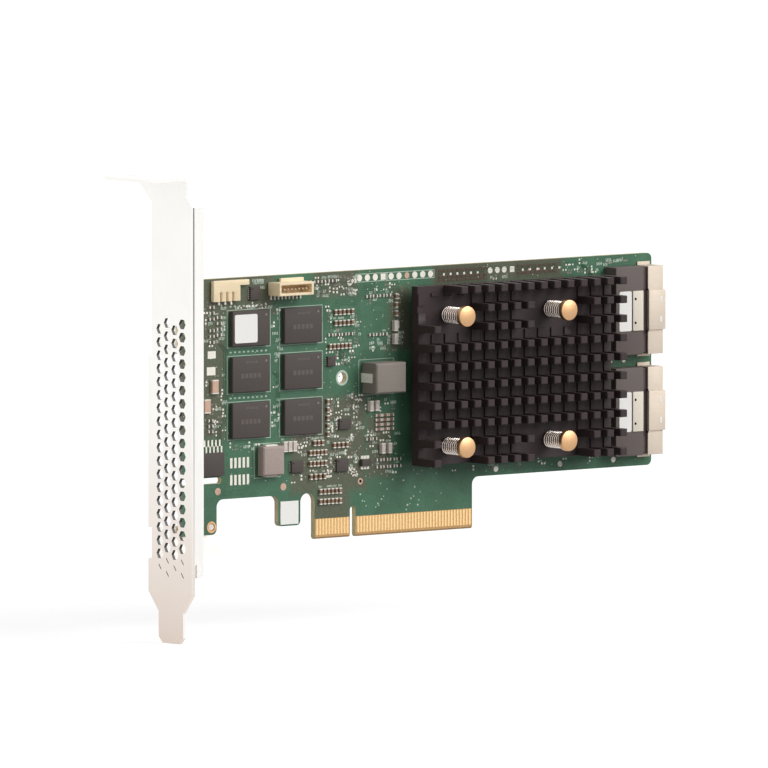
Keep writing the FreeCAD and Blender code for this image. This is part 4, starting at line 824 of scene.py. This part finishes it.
def lathe(shape, profile, across, up, sides=40):
    """A turned shape about Y, from its radii and places along Y, closed at both ends."""
    rings = []
    for radius, along in profile:
        if radius == 0:
            rings.append([shape.verts.new((across, along, up))])
            continue
        ring = []
        for step in range(sides):
            angle = 2 * math.pi * step / sides
            corner = (across + radius * math.cos(angle), along, up + radius * math.sin(angle))
            ring.append(shape.verts.new(corner))
        rings.append(ring)
    for first, second in zip(rings, rings[1:]):
        for step in range(sides):
            near = [first[step % len(first)], first[(step + 1) % sides % len(first)]]
            far = [second[(step + 1) % sides % len(second)], second[step % len(second)]]
            corners = list(dict.fromkeys(near + far))
            if len(corners) > 2:
                shape.faces.new(corners)


def turned_piece(name, profiles, look, slot, *nodes):
    """A piece of turned shapes, each with its profile and place."""
    shape = bmesh.new()
    for profile, across, up in profiles:
        lathe(shape, profile, across, up)
    bmesh.ops.remove_doubles(shape, verts=shape.verts, dist=MERGE / 2)
    bmesh.ops.recalc_face_normals(shape, faces=shape.faces)
    new_piece(name, as_mesh(shape, name), look, slot, *nodes)


def taken_places():
    """Boxes of what sits on the board's component face, across and up."""
    boxes = []
    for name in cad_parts:
        if name in ("circuit_board", "mounting_bracket", "edge_contacts_back", "rear_capacitors"):
            continue
        boxes += islands(name)
    return boxes


def on_board(across, up, margin):
    """Whether a place keeps its margin inside the board's outline, in metres."""
    lowest = LOWEST_OVER_LEG if across < LEG_END * MM else LOWEST_PLACE
    inside = BOARD_LOW.x + margin < across < BOARD_HIGH.x - margin
    return inside and lowest * MM + margin < up <= BOARD_HIGH.z - margin


def is_free(across, up, gap, taken):
    """Whether a place in metres keeps its gap from all that sits on the board."""
    if not on_board(across, up, gap):
        return False
    return not any(low.x - gap < across < high.x + gap and low.z - gap < up < high.z + gap
                   for low, high in taken)


class CARD_OT_finish_board(bpy.types.Operator):
    """Finish the board, its edge contacts and its plated pads"""

    bl_idname = "card.finish_board"
    bl_label = "Board"

    def execute(self, context):
        film = sizes().film
        copper = "tantalum_yellow"
        dress_node("circuit_board", "board_mask")
        dress_node("edge_contacts_front", "gold_plate")
        dress_node("edge_contacts_back", "gold_plate")
        discs("round_pads", [disc_box(*pad, film) for pad in ROUND_PADS], "tin", "tin")
        discs("copper_pads", [disc_box(*pad, film) for pad in COPPER_PADS], copper, copper)
        # The pad's hole is a dark disc on the pad, painted shade where the hole goes in.
        hole = disc_box(*HOLED_PAD[:2], PAD_HOLE, film * 0.4, film)
        discs("pad_holes", [hole], "dark_marks_and_shade", copper)
        discs("pale_specks", [disc_box(*speck, film) for speck in SPECKS], "print", "label_white", 10)
        blocks("bare_pads", [film_box(*pad, film) for pad in BARE_PADS], "tin", "tin")
        blocks("flat_parts", [film_box(*part, film * 3) for part in FLAT_PARTS], "flat_brown", "ceramic_tan")
        heights = (RING_LIP * MM, film, film, 0.0)
        ring = [(radius * MM, -height) for radius, height in zip(RING_RADII, heights)]
        ring += [(RING_RADII[0] * MM, 0.0), ring[0]]
        across, up = (place * MM for place in GUIDE_HOLE)
        turned_piece("guide_ring", [(ring, across, up)], "print", "label_white")
        return {"FINISHED"}


class CARD_OT_lay_traces(bpy.types.Operator):
    """Lay the copper lines and the small plated holes"""

    bl_idname = "card.lay_traces"
    bl_label = "Traces and vias"

    def execute(self, context):
        size = sizes()
        points = []
        edges = []
        for corners, (step_across, step_up), count in TRACE_BUNDLES:
            for line in range(count):
                first = len(points)
                for across, up in corners:
                    place = ((across + step_across * line) * MM, -size.film / 4, (up + step_up * line) * MM)
                    points.append(place)
                edges += [(index, index + 1) for index in range(first, len(points) - 1)]
        lines = bpy.data.meshes.new("trace_lines")
        lines.from_pydata(points, edges, [])
        run_tree(strip_tree, "trace_lines", lines, "trace", "board_mask",
                 Width=size.trace_width, Thickness=size.film)
        taken = taken_places()
        chance = random.Random(VIA_SEED)
        vias = []
        for _ in range(size.vias):
            across = chance.uniform(BOARD_LOW.x, BOARD_HIGH.x)
            up = chance.uniform(0, BOARD_HIGH.z)
            if is_free(across, up, size.via, taken):
                vias.append((across / MM, up / MM))
        via = size.via / MM
        rim = size.film * 0.8
        discs("vias", [disc_box(*place, via, rim) for place in vias], "trace", "board_mask", 10)
        holes = [disc_box(*place, via * 0.5, size.film * 0.3, rim) for place in vias]
        discs("via_holes", holes, "tin", "tin", 8)
        return {"FINISHED"}


class CARD_OT_fill_fields(bpy.types.Operator):
    """Fill the crowded fields with small pads and printed strokes"""

    bl_idname = "card.fill_fields"
    bl_label = "Crowded fields"

    def execute(self, context):
        film = sizes().film
        pad_sides = (0.36, 0.58)
        pad_steps = ((0.9, 0.0), (0.0, 0.9))
        pad_gap = 0.4 * MM
        # A stroke is an upright stem with a short bar at a chance height.
        stem = (0.2, 0.8)
        bar = (0.42, 0.18)
        bar_places = (-0.4, 0.2)
        stroke_step = 0.5
        stroke_gap = 0.45 * MM
        taken = taken_places()
        chance = random.Random(FIELD_SEED)
        pads = []
        dull_pads = []
        strokes = []
        for left, bottom, right, top, pairs, groups in CROWDED_FIELDS:
            for _ in range(pairs):
                across = chance.uniform(left, right)
                up = chance.uniform(bottom, top)
                side = chance.uniform(*pad_sides)
                kind = chance.choice((pads, dull_pads))
                step = chance.choice(pad_steps)
                places = ((across, up), (across + step[0], up + step[1]))
                if all(is_free(x * MM, z * MM, pad_gap, taken) for x, z in places):
                    kind += [film_box(x - side / 2, z - side / 2, side, side, film * 2) for x, z in places]
            for _ in range(groups):
                across = chance.uniform(left, right)
                up = chance.uniform(bottom, top)
                for stroke in range(chance.choice((2, 3, 4))):
                    x = across + stroke_step * stroke
                    if is_free(x * MM, up * MM, stroke_gap, taken):
                        start = x - stem[0] / 2
                        strokes.append(film_box(start, up - stem[1] / 2, *stem, film))
                        strokes.append(film_box(start, up + chance.uniform(*bar_places), *bar, film * 0.9))
        blocks("small_pads", pads, "tin", "tin")
        blocks("dull_pads", dull_pads, "ferrite_grey", "ferrite_grey")
        blocks("printed_strokes", strokes, "print", "label_white")
        return {"FINISHED"}


class CARD_OT_print_marks(bpy.types.Operator):
    """Print the white outlines and tick marks"""

    bl_idname = "card.print_marks"
    bl_label = "White print"

    def execute(self, context):
        film = sizes().film
        dash = (0.6, 0.4)
        dash_step = 1.45
        dash_gap = 1.05
        tick = (0.2, 0.5)
        tick_step = 0.36
        tick_gap = 0.28
        tick_shift = 0.3
        marks = []
        for name in MEMORY_CHIPS:
            marks += outline_boxes(name, *CHIP_OUTLINE)
        # A row of nine dashes lies over each chip of the left column.
        for name in MEMORY_CHIPS[::2]:
            low, high = box_in_mm(name)
            for index in range(9):
                marks.append(film_box(low.x + dash_step * index, high.z + dash_gap, *dash, film))
        for name in ("small_inductor", "large_inductor"):
            marks += outline_boxes(name, *INDUCTOR_OUTLINE)
        for outline in PAD_ROW_OUTLINES:
            marks += frame_boxes(*outline)
        # Three ticks stand over every third small part.
        chance = random.Random(TICK_SEED)
        for node in ("ceramic_capacitors", "chip_resistors", "large_capacitors"):
            for low, high in islands(node)[::3]:
                across = low.x / MM + chance.uniform(-tick_shift, tick_shift)
                up = high.z / MM + tick_gap
                marks += [film_box(across + tick_step * index, up, *tick, film) for index in range(3)]
        blocks("white_print", marks, "print", "label_white")
        return {"FINISHED"}


class CARD_OT_fit_bracket(bpy.types.Operator):
    """Finish the bracket with its screws and inserts"""

    bl_idname = "card.fit_bracket"
    bl_label = "Bracket"

    def execute(self, context):
        dress_node("mounting_bracket", "bracket_steel")
        dress_node("board_inserts", "screw_brass")
        shank = 1.0 * MM
        head_height = 1.2 * MM
        head_side = 0.5 * MM
        chamfer = 0.2 * MM
        crown_drop = 0.03 * MM
        slot_depth = Vector((0, 0.06 * MM, 0))
        slot_arms = (Vector((0.25 * MM, 0, 1.0 * MM)), Vector((1.0 * MM, 0, 0.25 * MM)))
        profiles = []
        slots = []
        for low, high in islands("bracket_screws"):
            middle = (low + high) / 2
            head = (high.x - low.x) / 2
            seat = high.y - head_height
            crown = high.y - crown_drop
            profile = [
                (0, low.y), (shank * 0.8, low.y), (shank, low.y + chamfer), (shank, seat), (head, seat),
                (head, seat + head_side), (head * 0.85, high.y - chamfer), (head * 0.5, crown), (0, crown),
            ]
            profiles.append((profile, middle.x, middle.z))
            # A cross of dark blocks on each crown stands for the slot, painted shade.
            spot = Vector((middle.x, high.y, middle.z))
            slots += [(spot - arm - slot_depth, spot + arm) for arm in slot_arms]
        turned_piece("bracket_screw_heads", profiles, "screw_steel", "screw_steel", "bracket_screws")
        blocks("bracket_screw_slots", slots, "dark_marks_and_shade", "screw_steel")
        return {"FINISHED"}


class CARD_OT_fit_heat_sink(bpy.types.Operator):
    """Build the pin heat sink and finish the chip under it"""

    bl_idname = "card.fit_heat_sink"
    bl_label = "Heat sink"

    def execute(self, context):
        dress_node("controller_chip", "chip_black")
        dress_node("thermal_pad", "pad_grey")
        name = "pin_fin_sink"
        shape = merged_copy("heat_sink")
        front = min(vertex.co.y for vertex in shape.verts)
        rims = [edge for edge in shape.edges
                if all(abs(vertex.co.y - front) < MERGE for vertex in edge.verts)]
        bmesh.ops.bevel(shape, geom=rims, offset=sizes().pin_tip, segments=1, affect="EDGES",
                        clamp_overlap=True)
        new_piece(name, as_mesh(shape, name, 1), "sink_black", "sink_black", "heat_sink")
        return {"FINISHED"}


class CARD_OT_fit_retention(bpy.types.Operator):
    """Build the spring screws that hold the heat sink"""

    bl_idname = "card.fit_retention"
    bl_label = "Spring screws"

    def execute(self, context):
        wire = sizes().spring_wire
        shank = 1.1 * MM
        head_height = 1.6 * MM
        chamfer = 0.2 * MM
        rim_round = 0.1 * MM
        rim_depth = 0.3 * MM
        # A box of one metre leaves a coil at its own size.
        half = Vector((0.5, 0.5, 0.5))
        dress_node("retention_nuts", "screw_steel")
        springs = islands("retention_springs")
        spring_sides = springs[0][1] - springs[0][0]
        seat = max(high.y for _, high in springs) - wire / 2
        profiles = []
        coils = []
        for low, high in islands("retention_screws"):
            middle = (low + high) / 2
            face = low.y
            head = (high.x - low.x) / 2
            back = face + head_height
            profile = [
                (0, face), (head * 0.9, face), (head * 0.97, face + rim_round), (head, face + rim_depth),
                (head, back - chamfer), (head * 0.95, back), (shank, back), (shank, high.y - chamfer),
                (shank * 0.8, high.y), (0, high.y),
            ]
            profiles.append((profile, middle.x, middle.z))
            foot = Vector((middle.x, seat, middle.z))
            coils.append((foot - half, foot + half))
        turned_piece("spring_screws", profiles, "screw_brass", "screw_brass", "retention_screws")
        name = "spring_coils"
        run_tree(coil_tree, name, sized_points(name, coils), "screw_steel", "screw_steel",
                 "retention_springs", Turns=sizes().spring_turns, Radius=(spring_sides.x - wire) / 2,
                 Length=spring_sides.y - wire, Wire=wire)
        return {"FINISHED"}


class CARD_OT_fit_sockets(bpy.types.Operator):
    """Build the two cable sockets at the far end"""

    bl_idname = "card.fit_sockets"
    bl_label = "Cable sockets"

    def execute(self, context):
        edge = sizes().soft_edge
        mark_height = 0.02 * MM
        dot = 0.7
        window = (0.75, 1.5)
        notch = (0.5, 0.5)
        notch_depth = 0.4 * MM
        notch_reach = 0.55
        strip_corner = 0.5 * MM
        # The marks stand at shares of the latch plate's sides and of the shell's width.
        dot_share = 0.24
        dot_heights = (0.2, 0.8)
        window_share = 0.66
        window_heights = (0.19, 0.69)
        dots = []
        windows = []
        notches = []
        for port in PORTS:
            latch = f"{port}_latch_plate"
            shell = f"{port}_port_shell"
            soft_copy(f"{port}_port_housing", f"{port}_socket_housing", "port_grey", edge)
            soft_copy(shell, f"{port}_socket_shell", "shell_steel", edge * 0.5)
            soft_copy(latch, f"{port}_latch_cover", "latch_cream", edge * 0.5, "cream_plastic")
            dress_node(f"{port}_port_contacts", "gold_plate")
            low, high = box_in_mm(latch)
            shell_low, shell_high = box_in_mm(shell)
            face = -low.y * MM
            shell_face = -shell_low.y * MM
            dot_across = low.x + (high.x - low.x) * dot_share
            window_left = shell_low.x + (shell_high.x - shell_low.x) * window_share
            notch_left = shell_low.x - notch_reach
            for share in dot_heights:
                up = low.z + (high.z - low.z) * share
                dots.append(disc_box(dot_across, up, dot, mark_height, face))
            for share in window_heights:
                up = low.z + (high.z - low.z) * share
                windows.append(film_box(window_left, up, *window, mark_height, shell_face))
            # Dark blocks set a little into the plate stand for its notches, painted shade.
            for up in (low.z - notch[1], high.z):
                notches.append(film_box(notch_left, up, *notch, notch_depth, face - notch_depth))
        discs("latch_dots", dots, "dark_marks_and_shade", "port_grey")
        blocks("shell_windows", windows, "label_white", "label_white")
        blocks("shell_notches", notches, "dark_marks_and_shade", "port_grey")
        rounded_plates("socket_strips", islands("port_strips"), strip_corner, "label_white", "label_white",
                       "port_strips")
        return {"FINISHED"}


class CARD_OT_fit_memory(bpy.types.Operator):
    """Build the memory chips and the blank stickers"""

    bl_idname = "card.fit_memory"
    bl_label = "Memory and stickers"

    def execute(self, context):
        edge = sizes().soft_edge
        dot = 0.6
        dot_inset = 1.2
        dot_height = 0.012 * MM
        print_height = 0.01 * MM
        label_corner = 0.5 * MM
        dots = []
        dashes = []
        for name in MEMORY_CHIPS:
            soft_copy(name, f"{name}_package", "chip_black", edge)
            low, high = box_in_mm(name)
            level = -low.y * MM
            dots.append(disc_box(high.x - dot_inset, high.z - dot_inset, dot, dot_height, level))
            # The first chip has a sticker in place of print.
            if name == MEMORY_CHIPS[0]:
                continue
            # Two rows of dashes stand for print: left, bottom, step, width and tallness in millimetres.
            upper_row = (low.x + 4.4, high.z - 1.7, 0.8, 0.55, 0.6)
            lower_row = (low.x + 2.8, low.z + 3.6, 1.35, 0.95, 1.2)
            for index in range(5):
                for left, bottom, step, *dash in (upper_row, lower_row):
                    dashes.append(film_box(left + step * index, bottom, *dash, print_height, level))
        discs("first_pin_dots", dots, "ferrite_grey", "ferrite_grey")
        blocks("chip_print", dashes, "print_faint", "chip_black")
        rounded_plates("memory_label", islands("memory_sticker"), label_corner, "label_white", "label_white",
                       "memory_sticker")
        dress_node("tab_sticker", "label_white")
        return {"FINISHED"}


class CARD_OT_fit_headers(bpy.types.Operator):
    """Finish the two headers and their pins"""

    bl_idname = "card.fit_headers"
    bl_label = "Headers"

    def execute(self, context):
        edge = sizes().soft_edge * 0.6
        soft_copy("power_header", "power_header_body", "cream_plastic", edge)
        soft_copy("signal_header", "signal_header_body", "cream_plastic", edge)
        dress_node("power_header_pins", "tin")
        dress_node("signal_header_pins", "header_pin")
        return {"FINISHED"}


class CARD_OT_fit_inductors(bpy.types.Operator):
    """Finish the two inductors and their terminals"""

    bl_idname = "card.fit_inductors"
    bl_label = "Inductors"

    def execute(self, context):
        for name, look in (("small_inductor", "pale_ferrite"), ("large_inductor", "ferrite_grey")):
            soft_copy(name, f"{name}_core", look, sizes().soft_edge, "ferrite_grey")
            dress_node(f"{name}_terminals", "terminal")
        return {"FINISHED"}


class CARD_OT_fit_chips(bpy.types.Operator):
    """Finish the small chips and add their solder joints"""

    bl_idname = "card.fit_chips"
    bl_label = "Small chips"

    def execute(self, context):
        edge = sizes().soft_edge * 0.6
        joint = (0.3, 0.26)
        joint_pitch = 0.5
        joint_height = 0.16 * MM
        joint_reach = 0.28
        joint_overlap = 0.02
        below_first = 0.3
        above_last = 0.4
        dot = 0.4
        dot_inset = 0.55
        dot_height = 0.01 * MM
        for name in ("switch_chip", "regulator_chips", "logic_chips", "transistor"):
            soft_copy(name, f"{name}_package", "chip_black", edge)
        dress_node("switch_chip_leads", "tin")
        dress_node("transistor_leads", "tin")
        joints = []
        dots = []
        for name in ("regulator_chips", "logic_chips"):
            for box in islands(name):
                low, high = (corner / MM for corner in box)
                dots.append(disc_box(low.x + dot_inset, high.z - dot_inset, dot, dot_height, -low.y * MM))
                # The joints run along both sides and stay clear of the corners.
                for side in (low.x - joint_reach, high.x - joint_overlap):
                    up = low.z + below_first
                    while up < high.z - above_last:
                        joints.append(film_box(side, up, *joint, joint_height))
                        up += joint_pitch
        blocks("chip_joints", joints, "tin", "tin")
        discs("small_chip_dots", dots, "dark_marks_and_shade", "chip_black", 12)
        return {"FINISHED"}


class CARD_OT_fit_passives(bpy.types.Operator):
    """Build the capacitors and resistors with their metal ends"""

    bl_idname = "card.fit_passives"
    bl_label = "Capacitors and resistors"

    def execute(self, context):
        kinds = {
            "large_capacitors": "ceramic_tan",
            "ceramic_capacitors": "ceramic_tan",
            "chip_resistors": "resistor_dark",
            "array_capacitors": "ceramic_tan",
            "tantalum_capacitors": "tantalum_yellow",
            "rear_capacitors": "ceramic_tan",
        }
        step_in = 0.03 * MM
        softness = 0.12
        cap_share = 0.24
        for node, slot in kinds.items():
            bodies = []
            ends = []
            for low, high in islands(node):
                sides = high - low
                axis = 0 if sides.x > sides.z else 2
                cap = min(sizes().end_cap, sides[axis] * cap_share)
                inset = Vector((step_in, step_in, step_in))
                inset[axis] = cap
                inner = [low + inset, high - inset]
                # A body stays on the face of the board that carries it.
                back = 1 if low.y < BOARD_HIGH.y / 2 else 0
                inner[back].y = (low, high)[back].y
                bodies.append(inner)
                first_end = high.copy()
                first_end[axis] = low[axis] + cap
                second_start = low.copy()
                second_start[axis] = high[axis] - cap
                ends += [(low, first_end), (second_start, high)]
            look = "pale_ceramic" if node == "large_capacitors" else slot
            blocks(f"{node}_bodies", bodies, look, slot, node, softness=softness)
            blocks(f"{node}_ends", ends, "tin", "tin", softness=softness)
        return {"FINISHED"}


def sun_light(name, source, strength, spread):
    """A soft far lamp that shines from a direction."""
    lamp = bpy.data.lights.new(name, "SUN")
    lamp.energy = strength
    lamp.angle = math.radians(spread)
    placed(name, lamp).rotation_euler = Vector(source).to_track_quat("Z", "Y").to_euler()


def is_seen(tree):
    """1 for what the camera sees straight, mirrored or through glass, else 0."""
    path = add(tree, "ShaderNodeLightPath").outputs
    mirrored = reckon(tree, "MAXIMUM", path["Is Glossy Ray"], path["Is Transmission Ray"])
    return reckon(tree, "MAXIMUM", path["Is Camera Ray"], mirrored)


def white_world(ambient):
    """Even soft light, and plain white for what the camera and mirrors see."""
    world = bpy.data.worlds.new("white_studio")
    bpy.context.scene.world = world
    world.use_nodes = True
    tree = world.node_tree
    tree.nodes.clear()
    level = span(tree, is_seen(tree), ambient, 1.0)
    light = add(tree, "ShaderNodeBackground", {"Strength": level, "Color": (1, 1, 1, 1)})
    add(tree, "ShaderNodeOutputWorld", {"Surface": light.outputs["Background"]})


def pale_floor(settings):
    """A wide floor at the card's lowest point, white to the eye, that keeps the card's shadow."""
    half_width = 40.0
    shape = bmesh.new()
    bmesh.ops.create_grid(shape, x_segments=1, y_segments=1, size=half_width)
    bmesh.ops.translate(shape, verts=shape.verts, vec=(0, 0, CAD_BOX[0][2]))
    floor = placed("floor", as_mesh(shape, "floor"))
    made, tree, shader = new_finish("floor_finish")
    share = grain(tree, 0.02, EVEN, 2.0)
    tree.links.new(ramp(tree, share, scaled(settings.floor, 0.985), settings.floor), shader["Base Color"])
    shader["Roughness"].default_value = 1.0
    shader["Specular IOR Level"].default_value = 0.0
    shader["Emission Color"].default_value = (1, 1, 1, 1)
    tree.links.new(reckon(tree, "MULTIPLY", is_seen(tree), settings.glow), shader["Emission Strength"])
    floor.data.materials.append(made)


def far_camera(settings):
    """A camera with a long lens, at the photograph's viewing angle."""
    turn = settings.azimuth
    rise = settings.elevation
    towards = Vector((math.sin(turn) * math.cos(rise), -math.cos(turn) * math.cos(rise), math.sin(rise)))
    camera = bpy.data.cameras.new("camera")
    camera.sensor_width = 36.0
    camera.lens = camera.sensor_width * settings.distance / settings.view_width
    camera.clip_start = 0.1
    camera.clip_end = 100.0
    viewer = placed("camera", camera)
    viewer.location = Vector(settings.target) + towards * settings.distance
    viewer.rotation_euler = towards.to_track_quat("Z", "Y").to_euler()
    bpy.context.scene.camera = viewer


class CARD_OT_set_stage(bpy.types.Operator):
    """Set the floor, the light and the camera"""

    bl_idname = "card.set_stage"
    bl_label = "Stage"

    def execute(self, context):
        settings = context.scene.card_stage
        key_source = (0.5, -0.75, 0.55)
        fill_source = (-0.7, -0.6, 0.4)
        context.scene.view_settings.view_transform = "Standard"
        pale_floor(settings)
        white_world(settings.ambient)
        sun_light("key_light", key_source, settings.key, spread=45)
        sun_light("fill_light", fill_source, settings.fill, spread=40)
        far_camera(settings)
        return {"FINISHED"}


OPERATORS = (
    CARD_OT_finish_board, CARD_OT_lay_traces, CARD_OT_fill_fields, CARD_OT_print_marks,
    CARD_OT_fit_bracket, CARD_OT_fit_heat_sink, CARD_OT_fit_retention, CARD_OT_fit_sockets,
    CARD_OT_fit_memory, CARD_OT_fit_headers, CARD_OT_fit_inductors, CARD_OT_fit_chips,
    CARD_OT_fit_passives, CARD_OT_set_stage,
)


class CARD_PT_panel(bpy.types.Panel):
    """Card's settings and pieces"""

    bl_idname = "CARD_PT_panel"
    bl_label = "Controller card"
    bl_space_type = "VIEW_3D"
    bl_region_type = "UI"
    bl_category = "Card"

    def draw(self, context):
        for operator in OPERATORS:
            self.layout.operator(operator.bl_idname)
        for settings in (context.scene.card_colours, context.scene.card_sizes, context.scene.card_stage):
            column = self.layout.column()
            for name in settings.__annotations__:
                column.prop(settings, name)


CLASSES = (CardColours, CardSizes, StageSettings, *OPERATORS, CARD_PT_panel)


def register():
    for item in CLASSES:
        bpy.utils.register_class(item)
    bpy.types.Scene.card_colours = bpy.props.PointerProperty(type=CardColours)
    bpy.types.Scene.card_sizes = bpy.props.PointerProperty(type=CardSizes)
    bpy.types.Scene.card_stage = bpy.props.PointerProperty(type=StageSettings)


def unregister():
    del bpy.types.Scene.card_colours
    del bpy.types.Scene.card_sizes
    del bpy.types.Scene.card_stage
    for item in reversed(CLASSES):
        bpy.utils.unregister_class(item)


def main():
    register()
    bpy.ops.card.finish_board()
    bpy.ops.card.lay_traces()
    bpy.ops.card.fill_fields()
    bpy.ops.card.print_marks()
    bpy.ops.card.fit_bracket()
    bpy.ops.card.fit_heat_sink()
    bpy.ops.card.fit_retention()
    bpy.ops.card.fit_sockets()
    bpy.ops.card.fit_memory()
    bpy.ops.card.fit_headers()
    bpy.ops.card.fit_inductors()
    bpy.ops.card.fit_chips()
    bpy.ops.card.fit_passives()
    bpy.ops.card.set_stage()


if __name__ == "__main__":
    main()
